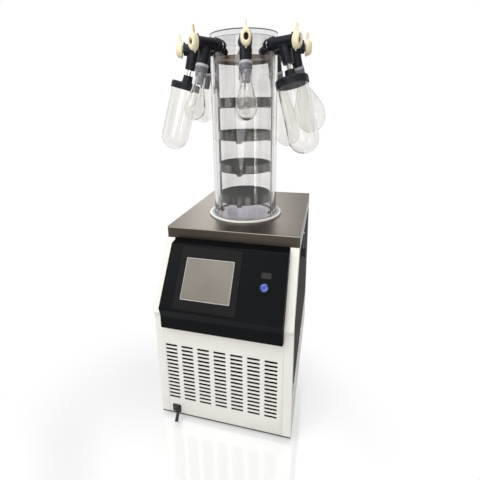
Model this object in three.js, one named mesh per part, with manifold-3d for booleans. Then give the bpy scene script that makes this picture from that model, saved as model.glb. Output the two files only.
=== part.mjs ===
// A laboratory freeze dryer: a steel cabinet with a cold trap, and on its deck a clear chamber with
// a rack of trays inside and eight valves round its top, each carrying a glass flask.
// Millimetres. The origin is on the floor under the middle of the machine; +X is its right hand
// side seen from the front, +Y its back and +Z up.
import * as THREE from "three";
import { mergeVertices } from "three/addons/utils/BufferGeometryUtils.js";
import Module from "manifold-3d";

const wasm = await Module();
wasm.setup();

// General
const gap = 0.3; // left between pieces that touch
const sheet = 2; // folded sheet of the cabinet
const largeSides = 40; // facets round the chamber and the trap
const traySides = 32;
const mediumSides = 24;
const flaskSides = 16;
const smallSides = 12;

// Cabinet
const cabinetWidth = 426;
const deckHeight = 622; // the deck's top face above the floor
const deckThickness = 35;
const deckDepth = 520;
const deckFront = -180; // where the deck's front edge stands
const deckSheet = 3;
const deckCorner = 8; // radius of the deck's corners
const footHeight = 12;
const footRadius = 18;
const footSole = 15.3; // radius where a foot meets the floor
const footInset = 34; // from the cabinet's sides to a foot's axis
const panHeight = 13; // upstand of the base pan
const sideSheet = 3; // the sides, which carry the dark covers
const coverSheet = 1.2;

// The cabinet's front in side view, measured from the deck's front lower edge
const creaseReach = 108; // forward
const creaseDrop = 164; // down
const noseReach = 130;
const noseDrop = 196;
const noseReturn = 14; // height of the short return under the nose
const frontReach = 123; // the lower front
const cheekWidth = 27; // white strip beside the console
const coverTop = 12; // bare rim above the dark side cover
const coverBottom = 150; // bare band below it
const coverRim = 16; // bare strip in front of and behind it

// Console
const consoleGap = 1; // to the cheeks
const consoleWall = 3;
const consoleShelf = 31; // its top stands out in front of the deck
const consoleShelfDrop = 5; // and falls by this much
const consoleNoseReach = 150;
const consoleNoseDrop = 168;
const consoleChinReach = 142; // the upright band under the nose
const consoleChinDrop = 196;
const consoleFoot = 349; // its lower edge above the floor
const consoleEndRise = 10; // its ends reach above the nose at the back
const consoleEndLean = 4; // and stand off the crease

// What the console carries, from its upper edge down the slope
const bezelLeft = -142;
const bezelWidth = 192;
const bezelTop = 9;
const bezelLength = 186;
const bezelThickness = 1.6;
const screenLeft = -121;
const screenWidth = 151;
const screenTop = 42;
const screenLength = 125;
const screenRim = 4;
const screenRimHeight = 2;
const screenDepth = 9;
const cutBeyond = 2; // how far a cutting tool stands out of what it cuts
const buttonX = 124;
const buttonDown = 106;
const buttonRadius = 11.5;
const buttonHeight = 7; // above the console
const buttonDepth = 16;
const buttonTravel = 3;
const ringWidth = 4;
const ringWall = 1.5; // of the sleeve the button slides in
const ringHeight = 3.5;

// Front grille
const slotColumns = 7;
const slotRows = 15;
const slotLength = 38;
const slotHeight = 7.5;
const slotPitchX = 52.3;
const slotShift = -7; // of the columns' middle from the cabinet's
const slotPitchZ = 14.1;
const slotLowest = 79; // the lowest row's middle above the floor

// Back panel vents
const ventRows = 6;
const ventColumns = 2;
const ventLength = 130;
const ventHeight = 8;
const ventSpace = 30; // between the columns
const ventPitch = 24;
const ventMiddle = 420; // height of the vents' middle

// Cold trap
const chamberY = 27; // the trap's and the chamber's common axis
const trapMouth = 72; // inner radius
const trapWall = 1.5;
const trapDepth = 225;
const trapFlange = 97; // radius of the flange on the deck
const trapFlangeHeight = 2;
const coilTube = 4; // radius
const coilTurns = 4;
const coilPitch = 20;
const coilSteps = 12; // straight steps in a turn
const coilGap = 0.8; // to the well
const coilBend = 12; // how far a line curves at a corner
const trapBarBeyond = 10; // what the bars that cut the foam stand out by
const foamWall = 30;
const foamGap = 3;
const foamHeight = 222;

// Chamber
const chamberRadius = 109.5;
const chamberWall = 9;
const chamberHeight = 592; // above the deck
const lidThickness = 16;
const gasketRadius = 128;
const gasketHeight = 6;
const gasketFloor = 2.5;
const ringTurn = 15; // the valves are turned from the cabinet's front, in degrees

// Rack and trays
const trayCount = 4;
const trayRadius = 90;
const trayWall = 1.4;
const trayHeight = 29;
const trayPitch = 107;
const lowestTray = 49; // the lowest tray's floor above the deck
const postWidth = 16;
const postThickness = 3;
const crossWidth = 20;
const crossHeight = 8;
const rackHead = 54; // from the lid's underside down to the rack's top plate
const rackPlate = 3;
const rackRim = 12; // height of the rim turned down round the top plate
const rackRimWall = 2;
const rackOver = 1; // how far the rim stands out past the posts
const postFoot = 9; // how far a post's foot reaches in
const postSole = 2;
const postSoleWidth = 20;

// Valves
const valveCount = 8;
const valveDrop = 42; // from the chamber's top to the valves' axes
const plugRadius = 13;
const plugGap = 0.6; // from the plug to its hole
const boreRadius = 4.5; // the way from the chamber to the flask
const boreSides = 8;
const nubRadius = 17;
const nubLength = 13;
const collarRadius = 21;
const collarLength = 15;
const bodyRadius = 18;
const bodyLength = 69;
const spoutBack = 34; // from the body's outer end to where the spout's axis leaves it
const spoutTilt = 16; // degrees outward from straight down
const spoutTopRadius = 17.5;
const spoutEndRadius = 15.5;
const spoutLength = 64;
const earSize = 7;
const earSink = 2; // how far the ear's top is below a full ear's height
const stemRadius = 6;
const stemGap = 0.5;
const stemLength = 25;

// Valve knobs
const knobHalfWidth = 15.5;
const knobHalfHeight = 23.5;
const knobThickness = 20;
const knobDome = 11; // how much of the thickness the rounded face takes
const knobShoulder = 0.9; // the share of the half sizes left part way up the dome
const knobShoulderDepth = 5; // and how far that is behind the face
const knobFace = 0.62; // the flat of the face as a share of the half sizes
const knobHoleWidth = 6.5; // half sizes of the oval hollow in the face
const knobHoleHeight = 9.5;
const knobFloor = 3; // what is left behind the hollow
const finTop = 47; // above the axis
const finSink = 5; // how deep its root stands in the knob
const finBase = 11; // its width at the root
const finTip = 8; // and at the top
const finLean = 3; // outward at the top
const finThickness = 3.2;
const hubGap = 0.5; // from the valve's end to the knob's hub
const hubLength = 3;
const hubRadius = 9;
const tailDrop = 28.5;
const tailWidth = 9;

// Adapters between the spouts and the narrow flasks
const capRadius = 19;
const capLength = 22;
const neckRadius = 15.5; // outer radius of a narrow flask's neck
const neckLength = 34;
const glassWall = 2.6;
const jointGap = 0.4; // from the ground plug to the neck

// Lids of the wide flasks
const linkTubeRadius = 6.5;
const linkTubeLength = 18;
const socketRadius = 15;
const socketLength = 22;
const lidRadius = 49;
const lidHeight = 24;
const lidGrip = 13; // how deep the flask's mouth stands in it
const wideRadius = 45.5;
const wideLength = 214;

// Narrow flasks: widest radius, length from the adapter down, and how drawn out the bulb is
const smallFlask = { radius: 31, length: 140, stretch: 1.15 };
const mediumFlask = { radius: 39, length: 160, stretch: 1 };
const largeFlask = { radius: 52, length: 196, stretch: 1.25 };
const longFlask = { radius: 50, length: 262, stretch: 1.3 };

// Cooling machinery
const compressorRadius = 76;
const compressorHeight = 205;
const canLift = 12; // the can's lowest point above the base plate's underside
const canBelly = 36; // where its upright wall begins
const canShoulder = 34; // and ends, below the top
const canCrown = 8; // drop of the top's rounded edge
const canFoot = 57; // radius of its bottom
const canBrow = 61; // radius where the crown begins
const canFlat = 34; // radius of its flat top
const canBase = 16; // height of the base plate
const canBaseDepth = 57; // half of its depth
const lineOffset = 53; // the discharge line from the can's axis
const compressorX = 92;
const compressorY = 190;
const condenserWidth = 300;
const condenserHeight = 250;
const condenserDepth = 40;
const condenserSetback = 12; // behind the grille
const condenserLift = 30; // above the base pan
const condenserFootX = 120; // a foot's middle from the machine's
const condenserFootWidth = 20;
const finCount = 14;
const finDepth = 9;
const fanRadius = 100;
const fanGap = 9; // behind the condenser
const fanHub = 24;
const fanDepth = 22;
const fanBlades = 5;
const bladeWidth = 62;
const bladeThickness = 2.5;
const bladeTwist = 0.3; // radians
const bladeSink = 10; // how deep a blade stands in the hub
const bladeTipGap = 1; // from a blade's tip to the fan's radius
const motorRadius = 36;
const motorLength = 58;
const shaftRadius = 4;
const motorLegWidth = 24;
const motorLegStart = 12; // behind the motor's face
const motorLegDepth = 18;
const motorLegSink = 7; // how deep the leg stands in the motor
const motorSoleDepth = 42;
const motorSole = 3;
const motorGap = 3; // from the fan to the motor
const shaftSink = 20; // how far the fan's shaft stands in the motor
const lineX = 120; // where the discharge line meets the condenser
const liquidX = -60; // and the liquid line
const lineDrop = 14; // both below the condenser's top

// Fittings
const portY = -60; // the vacuum port on the right side
const portDrop = 67; // below the deck's underside
const portTube = 13;
const portSeat = 2; // the trap's hole is this much smaller than the tube
const portFlange = 20;
const portReach = 13;
const portWall = 3;
const portCollar = 5; // thickness of the clamp flange
const drainX = -151;
const drainHeight = 35;
const drainPlate = 28;
const drainPlateShift = -9; // of the plate's middle from the valve's axis
const drainBody = 8;
const drainCollar = 20; // how far the valve's body stands out of the plate
const drainFlange = 3; // thickness of the plate
const drainNozzle = 5;
const nozzleStart = 10; // where the spout leaves the body, out from the plate
const nozzleReach = 30; // where it ends
const nozzleLow = 12; // height of its end above the floor
const nozzleFlare = 1.6;
const flareStart = 0.85; // as a share of the nozzle
const drainStem = 3;
const leverLength = 18;
const leverWidth = 8;
const leverThickness = 4;
const stemSink = 5; // how deep the lever's stem stands in the valve
const pipeRadius = 5;
const pipeBend = 25;
const pipeGap = 0.8; // from the drain pipe to its holes
const inletX = 130;
const inletHeight = 80;
const inletWidth = 48;
const inletTall = 28;
const inletReach = 5;
const inletDepth = 24; // behind the back panel's face
const inletRim = 5; // of the flange beyond the body, sideways
const inletBrow = 4; // and up and down
const inletWall = 4;
const recessDepth = 16;
const pinSize = 4;
const pinPitch = 14;
const pinTip = 2; // the pins' ends behind the panel's face

// Worked out from the sizes above
const deckBack = deckFront + deckDepth;
const deckUnder = deckHeight - deckThickness;
const frontY = deckFront - frontReach;
const noseZ = deckUnder - noseDrop;
const halfWidth = cabinetWidth / 2;
const consoleHalf = halfWidth - cheekWidth - consoleGap;
const panTop = footHeight + sheet;
const wellRadius = trapMouth + trapWall;
const wellHole = wellRadius + 2;
const chamberBase = deckHeight + gap + gasketFloor + gap;
const chamberTop = deckHeight + chamberHeight;
const valveZ = chamberTop - valveDrop;
const trapRim = deckHeight + gap + trapFlangeHeight;
const ringBarrel = buttonRadius + gap + ringWall;
const trayFloor = (i) => deckHeight + lowestTray + trayPitch * (trayCount - i);
const collarStart = chamberRadius + gap + 0.5;
const bodyStart = collarStart + collarLength;
const bodyEnd = bodyStart + bodyLength;
const spoutX = bodyEnd - spoutBack;

const machine = new THREE.Group();
export default machine;

// ---- shapes and solids ----

// A closed geometry as a solid that can be joined and cut, facing out whichever way it was drawn.
function solid(geometry) {
  const bare = geometry.clone();
  bare.deleteAttribute("normal");
  bare.deleteAttribute("uv");
  const merged = mergeVertices(bare, 1e-4);
  const index = merged.index.array;
  const kept = [];
  for (let i = 0; i < index.length; i += 3) {
    const [a, b, c] = [index[i], index[i + 1], index[i + 2]];
    if (a !== b && b !== c && c !== a) kept.push(a, b, c);
  }
  const build = (triangles) =>
    new wasm.Manifold(
      new wasm.Mesh({
        numProp: 3,
        vertProperties: merged.attributes.position.array,
        triVerts: new Uint32Array(triangles),
      }),
    );
  const made = build(kept);
  if (made.volume() > 0) return made;
  for (let i = 0; i < kept.length; i += 3) [kept[i], kept[i + 1]] = [kept[i + 1], kept[i]];
  return build(kept);
}

const join = (...solids) => solids.reduce((a, b) => a.add(b));
const cut = (body, ...tools) => tools.reduce((a, b) => a.subtract(b), body);

function geometryOf(body) {
  const mesh = body.getMesh();
  const geometry = new THREE.BufferGeometry();
  geometry.setAttribute("position", new THREE.BufferAttribute(mesh.vertProperties, 3));
  geometry.setIndex(new THREE.BufferAttribute(mesh.triVerts, 1));
  return geometry;
}

// A box from its lowest to its highest corner.
function block(low, high) {
  const size = high.map((value, k) => value - low[k]);
  const geometry = new THREE.BoxGeometry(...size);
  geometry.translate(...low.map((value, k) => value + size[k] / 2));
  return solid(geometry);
}

// A round bar between two points, tapered if the radii differ.
function rod(from, to, radius, endRadius = radius, sides = smallSides) {
  const [a, b] = [new THREE.Vector3(...from), new THREE.Vector3(...to)];
  const along = b.clone().sub(a);
  const geometry = new THREE.CylinderGeometry(endRadius, radius, along.length(), sides);
  geometry.translate(0, along.length() / 2, 0);
  const turn = new THREE.Quaternion().setFromUnitVectors(
    new THREE.Vector3(0, 1, 0),
    along.clone().normalize(),
  );
  geometry.applyQuaternion(turn);
  geometry.translate(a.x, a.y, a.z);
  return solid(geometry);
}

// A turned piece about an upright axis at x, y from points [radius, height].
function turned(points, sides = mediumSides, x = 0, y = 0) {
  const geometry = new THREE.LatheGeometry(
    points.map(([radius, height]) => new THREE.Vector2(radius, height)),
    sides,
  );
  geometry.rotateX(Math.PI / 2);
  geometry.translate(x, y, 0);
  return solid(geometry);
}

function outline(points) {
  return new THREE.Shape(points.map(([x, y]) => new THREE.Vector2(x, y)));
}

// A side view outline of points [y, z], drawn out along X from one side to the other.
function sideways(points, fromX, toX) {
  const geometry = new THREE.ExtrudeGeometry(outline(points), {
    depth: toX - fromX,
    bevelEnabled: false,
  });
  const axes = new THREE.Matrix4().makeBasis(
    new THREE.Vector3(0, 1, 0),
    new THREE.Vector3(0, 0, 1),
    new THREE.Vector3(1, 0, 0),
  );
  geometry.applyMatrix4(axes);
  geometry.translate(fromX, 0, 0);
  return solid(geometry);
}

// An upright outline of points [x, z], drawn out along Y.
function upright(points, fromY, toY) {
  const geometry = new THREE.ExtrudeGeometry(outline(points), {
    depth: toY - fromY,
    bevelEnabled: false,
  });
  geometry.rotateX(Math.PI / 2);
  geometry.translate(0, toY, 0);
  return solid(geometry);
}

// A flat outline of points [x, y], drawn out along Z.
function flat(shape, fromZ, toZ) {
  const geometry = new THREE.ExtrudeGeometry(shape, {
    depth: toZ - fromZ,
    bevelEnabled: false,
    curveSegments: 4,
  });
  geometry.translate(0, 0, fromZ);
  return solid(geometry);
}

const rectangle = (left, low, width, height) => [
  [left, low],
  [left + width, low],
  [left + width, low + height],
  [left, low + height],
];

function roundedRectangle(left, low, width, height, radius) {
  const shape = new THREE.Shape();
  const [right, top] = [left + width, low + height];
  shape.moveTo(left + radius, low);
  shape.lineTo(right - radius, low);
  shape.absarc(right - radius, low + radius, radius, -Math.PI / 2, 0);
  shape.lineTo(right, top - radius);
  shape.absarc(right - radius, top - radius, radius, 0, Math.PI / 2);
  shape.lineTo(left + radius, top);
  shape.absarc(left + radius, top - radius, radius, Math.PI / 2, Math.PI);
  shape.lineTo(left, low + radius);
  shape.absarc(left + radius, low + radius, radius, Math.PI, Math.PI * 1.5);
  return shape;
}

// The outline of a folded sheet: a line of points and the same line moved in by its thickness.
function folded(points, thickness) {
  const inner = points.map((point, i) => {
    const before = points[Math.max(i - 1, 0)];
    const after = points[Math.min(i + 1, points.length - 1)];
    const normal = (a, b) => {
      const [dy, dz] = [b[0] - a[0], b[1] - a[1]];
      const long = Math.hypot(dy, dz) || 1;
      return [-dz / long, dy / long];
    };
    const n1 = i > 0 ? normal(before, point) : normal(point, after);
    const n2 = i < points.length - 1 ? normal(point, after) : n1;
    const scale = thickness / (1 + n1[0] * n2[0] + n1[1] * n2[1]);
    return [point[0] + (n1[0] + n2[0]) * scale, point[1] + (n1[1] + n2[1]) * scale];
  });
  return [...points, ...inner.reverse()];
}

// A closed tube along a line of points.
function pipe(points, radius, sides = 6) {
  const line = points.map((point) => new THREE.Vector3(...point));
  const steps = line.slice(1).map((point, i) => point.clone().sub(line[i]).normalize());
  const position = [];
  const index = [];
  const upright = Math.abs(steps[0].z) > 0.7;
  let across = new THREE.Vector3(upright ? 1 : 0, 0, upright ? 0 : 1);
  line.forEach((point, i) => {
    const before = steps[Math.max(i - 1, 0)];
    const after = steps[Math.min(i, steps.length - 1)];
    const ahead = before.clone().add(after).normalize();
    across = across.clone().projectOnPlane(ahead).normalize();
    const side = ahead.clone().cross(across);
    for (let k = 0; k < sides; k++) {
      const angle = (k * 2 * Math.PI) / sides;
      const corner = point.clone();
      corner.addScaledVector(across, radius * Math.cos(angle));
      corner.addScaledVector(side, radius * Math.sin(angle));
      position.push(...corner.toArray());
      if (i === 0) continue;
      const [a, b] = [(i - 1) * sides + k, (i - 1) * sides + ((k + 1) % sides)];
      index.push(a, b, b + sides, a, b + sides, a + sides);
    }
  });
  const last = (line.length - 1) * sides;
  for (let k = 1; k < sides - 1; k++) {
    index.push(0, k + 1, k, last, last + k, last + k + 1);
  }
  const geometry = new THREE.BufferGeometry();
  geometry.setAttribute("position", new THREE.Float32BufferAttribute(position, 3));
  geometry.setIndex(index);
  return solid(geometry);
}

// The same line of points with its corners rounded off over the given reach.
function eased(points, reach) {
  const line = points.map((point) => new THREE.Vector3(...point));
  const smooth = [points[0]];
  for (let i = 1; i < line.length - 1; i++) {
    const toward = (other) => line[i].clone().lerp(other, reach / line[i].distanceTo(other));
    const bend = new THREE.QuadraticBezierCurve3(
      toward(line[i - 1]),
      line[i],
      toward(line[i + 1]),
    );
    smooth.push(...bend.getPoints(3).map((point) => point.toArray()));
  }
  return [...smooth, points.at(-1)];
}

const finishes = {
  white: [0xdcdbd0, 0.5, 0.1],
  dark: [0x2b2c2e, 0.55, 0.2],
  console: [0x1c1f24, 0.45, 0.1],
  bezel: [0x2a2a28, 0.4, 0],
  screen: [0x928b80, 0.15, 0],
  silver: [0xd8d8d6, 0.3, 0.8],
  blue: [0x5a6ac0, 0.3, 0],
  steel: [0x8f887e, 0.35, 1],
  tray: [0x5a5553, 0.35, 1],
  polished: [0xb8b6b2, 0.15, 1],
  acrylic: [0xe6e6ea, 0.05, 0],
  glass: [0xe8e6e2, 0.02, 0],
  silicone: [0xefe9e6, 0.5, 0],
  rubber: [0x22232b, 0.6, 0],
  ivory: [0xeee6cc, 0.4, 0],
  copper: [0xb06a43, 0.3, 1],
  aluminium: [0xb9bcc0, 0.4, 1],
  foam: [0xc9c3a8, 0.9, 0],
  enamel: [0x1a1a1c, 0.4, 0.3],
};

// Names a solid, gives it its material and puts it in a group.
function add(name, body, finish, group = machine) {
  const [color, roughness, metalness] = finishes[finish];
  const material = new THREE.MeshStandardMaterial({ color, roughness, metalness });
  const glassy = finish === "glass" || finish === "acrylic";
  if (glassy) Object.assign(material, { transparent: true, opacity: 0.35 });
  const mesh = new THREE.Mesh(geometryOf(body), material);
  mesh.name = name;
  group.add(mesh);
  return mesh;
}

// ---- cabinet ----

// The cabinet's front as seen from the side, from the bottom up.
function frontLine(inset = 0) {
  return [
    [frontY + inset, footHeight],
    [frontY + inset, noseZ - noseReturn],
    [deckFront - noseReach + inset, noseZ],
    [deckFront - creaseReach + inset, deckUnder - creaseDrop],
    [deckFront + inset, deckUnder - gap],
  ];
}

function sideFrame(name, side) {
  const outer = side * halfWidth;
  const between = (line, near, far) => sideways(line, Math.min(near, far), Math.max(near, far));
  const profile = [...frontLine(), [deckBack, deckUnder - gap], [deckBack, footHeight]];
  const plate = between(profile, outer, side * (halfWidth - sideSheet));
  const cheek = between(
    folded(frontLine().reverse(), sheet),
    side * (halfWidth - sheet),
    side * (halfWidth - cheekWidth),
  );
  const recess = between(coverLine(0), side * (halfWidth + 1), side * (halfWidth - coverSheet - gap));
  const cover = between(coverLine(gap), outer, side * (halfWidth - coverSheet));
  const holes = side > 0 ? [portHole()] : [];
  add(`${name}_side_frame`, cut(join(plate, cheek), recess, ...holes), "white");
  add(`${name}_side_cover`, cut(cover, ...holes), "dark");
}

// The dark cover's outline on the side of the cabinet, drawn in by an inset.
function coverLine(inset) {
  const front = frontY + coverRim + inset;
  const back = deckBack - 2 * coverRim - inset;
  const crease = deckUnder - creaseDrop;
  return [
    [front, footHeight + coverBottom + inset],
    [back, footHeight + coverBottom + inset],
    [back, deckUnder - coverTop - inset],
    [deckFront + coverRim + inset, deckUnder - coverTop - inset],
    [deckFront - creaseReach + coverRim + 2 * inset, crease],
    [front, crease - coverRim],
  ];
}

// The way through the right side for the vacuum port.
function portHole() {
  const height = deckUnder - portDrop;
  return rod(
    [halfWidth - 2 * sideSheet, portY, height],
    [halfWidth + sideSheet, portY, height],
    portTube + gap,
    portTube + gap,
    mediumSides,
  );
}

function basePan() {
  const [left, right] = [-halfWidth + sideSheet + gap, halfWidth - sideSheet - gap];
  const [front, back] = [frontY + sheet + gap, deckBack - sheet - gap];
  const outer = block([left, front, footHeight], [right, back, footHeight + panHeight]);
  const inner = block(
    [left + sheet, front + sheet, footHeight + sheet],
    [right - sheet, back - sheet, footHeight + panHeight + 1],
  );
  add("base_pan", cut(outer, inner), "white");
}

function feet() {
  const places = [
    ["front_left", -1, frontY + footInset],
    ["front_right", 1, frontY + footInset],
    ["rear_left", -1, deckBack - footInset],
    ["rear_right", 1, deckBack - footInset],
  ];
  for (const [name, side, y] of places) {
    const foot = turned(
      [
        [0, 0],
        [footSole, 0],
        [footRadius, footHeight / 3],
        [footRadius, footHeight - gap],
        [0, footHeight - gap],
      ],
      flaskSides,
    );
    const mesh = add(`foot_${name}`, foot, "rubber");
    mesh.position.set(side * (halfWidth - footInset), y, 0);
  }
}

// A slot through an upright sheet at y: its middle, length and height.
const slot = (x, y, z, length, height) =>
  block(
    [x - length / 2, y - sheet - cutBeyond, z - height / 2],
    [x + length / 2, y + sheet + cutBeyond, z + height / 2],
  );

function backPanel() {
  const half = halfWidth - sideSheet - gap;
  const slots = [slot(inletX, deckBack, inletHeight, inletWidth, inletTall)];
  for (let column = 0; column < ventColumns; column++) {
    for (let row = 0; row < ventRows; row++) {
      const x = (column - (ventColumns - 1) / 2) * (ventLength + ventSpace);
      const z = ventMiddle + (row - (ventRows - 1) / 2) * ventPitch;
      slots.push(slot(x, deckBack, z, ventLength, ventHeight));
    }
  }
  const panel = block([-half, deckBack - sheet, footHeight], [half, deckBack, deckUnder - gap]);
  add("back_panel", cut(panel, ...slots), "white");
}

// The louvred sheet between the cheeks, under the console.
function frontGrille() {
  const half = halfWidth - cheekWidth - gap;
  const top = noseZ - noseReturn - 1;
  const holes = [
    rod(
      [drainX, frontY - cutBeyond, drainHeight],
      [drainX, frontY + sheet + cutBeyond, drainHeight],
      pipeRadius + pipeGap,
    ),
  ];
  for (let row = 0; row < slotRows; row++) {
    for (let column = 0; column < slotColumns; column++) {
      const x = slotShift + (column - (slotColumns - 1) / 2) * slotPitchX;
      const z = slotLowest + row * slotPitchZ;
      holes.push(slot(x, frontY, z, slotLength, slotHeight));
    }
  }
  const panel = block([-half, frontY, footHeight], [half, frontY + sheet, top]);
  add("front_grille", cut(panel, ...holes), "white");
}

function deck() {
  const shape = roundedRectangle(-halfWidth, deckFront, cabinetWidth, deckDepth, deckCorner);
  const hollow = roundedRectangle(
    -halfWidth + deckSheet,
    deckFront + deckSheet,
    cabinetWidth - 2 * deckSheet,
    deckDepth - 2 * deckSheet,
    deckCorner - deckSheet,
  );
  const hole = rod(
    [0, chamberY, deckUnder - 1],
    [0, chamberY, deckHeight + 1],
    wellHole,
    wellHole,
    largeSides,
  );
  const plate = cut(
    flat(shape, deckUnder, deckHeight),
    flat(hollow, deckUnder - 1, deckHeight - deckSheet),
    hole,
  );
  add("deck", plate, "steel");
}

// ---- console ----

const slopeTop = [deckFront - consoleShelf, deckUnder - consoleShelfDrop];
const slopeEnd = [deckFront - consoleNoseReach, deckUnder - consoleNoseDrop];
const slopeAngle = Math.atan2(slopeTop[0] - slopeEnd[0], slopeTop[1] - slopeEnd[1]);

// A frame on the console's slope: +Y runs up it, +Z stands out of it and Y = 0 is its upper edge.
const slope = new THREE.Group();
slope.position.set(0, ...slopeTop);
slope.rotation.x = Math.PI / 2 - slopeAngle;
machine.add(slope);

function consoleShell() {
  const line = [
    [deckFront + 2 * sheet, deckUnder - 1],
    slopeTop,
    slopeEnd,
    [deckFront - consoleChinReach, deckUnder - consoleChinDrop],
    [deckFront - consoleChinReach, consoleFoot],
    [frontY - gap, consoleFoot],
  ];
  const wall = sideways(folded(line, consoleWall), -consoleHalf, consoleHalf);
  const side = [
    ...line,
    [frontY - gap, noseZ + consoleEndRise],
    [deckFront - creaseReach + consoleEndLean, deckUnder - creaseDrop],
  ];
  const ends = [-consoleHalf, consoleHalf - consoleWall].map((x) =>
    sideways(side, x, x + consoleWall),
  );
  const shell = join(wall, ...ends);
  const toSlope = new THREE.Matrix4().compose(
    slope.position,
    slope.quaternion,
    new THREE.Vector3(1, 1, 1),
  );
  const place = (low, high) => {
    const size = high.map((value, k) => value - low[k]);
    const geometry = new THREE.BoxGeometry(...size);
    geometry.translate(...low.map((value, k) => value + size[k] / 2));
    geometry.applyMatrix4(toSlope);
    return solid(geometry);
  };
  const inset = screenRim - 1;
  const screenHole = place(
    [screenLeft + inset, -screenTop - screenLength + inset, -consoleWall - cutBeyond],
    [screenLeft + screenWidth - inset, -screenTop - inset, cutBeyond],
  );
  const round = new THREE.CylinderGeometry(
    ringBarrel + gap,
    ringBarrel + gap,
    2 * (consoleWall + cutBeyond) + 2 * cutBeyond,
    mediumSides,
  );
  round.rotateX(Math.PI / 2);
  round.translate(buttonX, -buttonDown, 0);
  round.applyMatrix4(toSlope);
  add("control_console", cut(shell, screenHole, solid(round)), "console");
}

function consoleFace() {
  const [windowLeft, windowLow] = [screenLeft + screenRim, -screenTop - screenLength + screenRim];
  const windowSize = [screenWidth - 2 * screenRim, screenLength - 2 * screenRim];
  const bezelShape = outline(
    rectangle(bezelLeft, -bezelTop - bezelLength, bezelWidth, bezelLength),
  );
  bezelShape.holes = [outline(rectangle(windowLeft, windowLow, ...windowSize))];
  add("touch_bezel", flat(bezelShape, gap, gap + bezelThickness), "bezel", slope);

  const rimLow = 2 * gap + bezelThickness;
  const rimShape = outline(
    rectangle(screenLeft, -screenTop - screenLength, screenWidth, screenLength),
  );
  rimShape.holes = [outline(rectangle(windowLeft, windowLow, ...windowSize))];
  add("screen_frame", flat(rimShape, rimLow, rimLow + screenRimHeight), "silver", slope);

  const glass = outline(
    rectangle(windowLeft + gap, windowLow + gap, windowSize[0] - 2 * gap, windowSize[1] - 2 * gap),
  );
  const glassTop = rimLow + screenRimHeight - 1;
  add("touch_screen", flat(glass, glassTop - screenDepth, glassTop), "screen", slope);
}

function powerButton() {
  const flange = ringBarrel + ringWidth;
  const ring = turned(
    [
      [buttonRadius + gap, -buttonDepth],
      [ringBarrel, -buttonDepth],
      [ringBarrel, gap],
      [flange, gap],
      [flange, ringHeight / 2],
      [flange - 1, ringHeight],
      [buttonRadius + gap, ringHeight],
      [buttonRadius + gap, -buttonDepth],
    ],
    flaskSides,
  );
  const button = turned(
    [
      [0, -buttonDepth + buttonTravel],
      [buttonRadius, -buttonDepth + buttonTravel],
      [buttonRadius, buttonHeight - 1.5],
      [buttonRadius - 1.5, buttonHeight],
      [0, buttonHeight + 0.5],
    ],
    flaskSides,
  );
  add("button_ring", ring, "rubber", slope).position.set(buttonX, -buttonDown, 0);
  add("power_button", button, "blue", slope).position.set(buttonX, -buttonDown, 0);
}

// ---- cold trap ----

const wellBottom = trapRim - trapDepth;
const portHeight = deckUnder - portDrop;
const coilRadius = (wellRadius + coilGap + coilTube) / Math.cos(Math.PI / coilSteps);
const coilTop = portHeight - portTube - 2 * coilTube;
const coilBottom = coilTop - coilTurns * coilPitch;
const foamInner = coilRadius + coilTube + foamGap;
const foamTop = deckUnder - gap;
const foamBottom = foamTop - foamHeight;
const compressorTop = panTop + gap + compressorHeight;

// The suction line leaves the coil towards the compressor, the liquid line a step further round.
const lineAngle = Math.atan2(compressorY - chamberY, compressorX);
const liquidAngle = lineAngle + (2 * Math.PI) / coilSteps;
const aroundTrap = (radius, angle, z) => [
  radius * Math.cos(angle),
  chamberY + radius * Math.sin(angle),
  z,
];

function coldTrap() {
  const well = turned(
    [
      [0, wellBottom],
      [wellRadius, wellBottom],
      [wellRadius, deckHeight + gap],
      [trapFlange, deckHeight + gap],
      [trapFlange, trapRim],
      [trapMouth, trapRim],
      [trapMouth, wellBottom + trapWall],
      [0, wellBottom + trapWall],
    ],
    largeSides,
    0,
    chamberY,
  );
  const vacuumHole = rod(
    [trapMouth - cutBeyond, chamberY, portHeight],
    [wellRadius + cutBeyond, chamberY, portHeight],
    portTube - portSeat,
  );
  const drainHole = rod(
    [0, chamberY, wellBottom - 2],
    [0, chamberY, wellBottom + trapWall + 2],
    pipeRadius - 1.5,
  );
  add("cold_trap_well", cut(well, vacuumHole, drainHole), "polished");
}

// The evaporator: turns of tube round the well, with a line to the compressor at its top end and
// one to the condenser at its lower end.
function evaporatorCoil() {
  const turn = (i) => {
    const angle = lineAngle + (i * 2 * Math.PI) / coilSteps;
    return aroundTrap(coilRadius, angle, coilTop - (i / coilSteps) * coilPitch);
  };
  const suction = [
    [compressorX, compressorY, compressorTop + gap],
    [compressorX, compressorY, coilTop],
    aroundTrap(coilRadius, lineAngle, coilTop),
    turn(1),
  ];
  const turns = [];
  for (let i = 2; i <= coilTurns * coilSteps; i++) {
    turns.push(turn(i));
  }
  const liquid = [
    aroundTrap(coilRadius, liquidAngle, coilBottom - coilBend),
    aroundTrap(coilRadius, liquidAngle, foamBottom - coilBend),
    [liquidX, chamberY - wellRadius, foamBottom - 3 * coilBend],
    [liquidX, condenserBack + 5 * coilBend, condenserTop - lineDrop],
    [liquidX, condenserBack + gap, condenserTop - lineDrop],
  ];
  const path = [...eased(suction, coilBend), ...turns, ...eased(liquid, coilBend)];
  add("evaporator_coil", pipe(path, coilTube), "copper");
}

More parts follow.
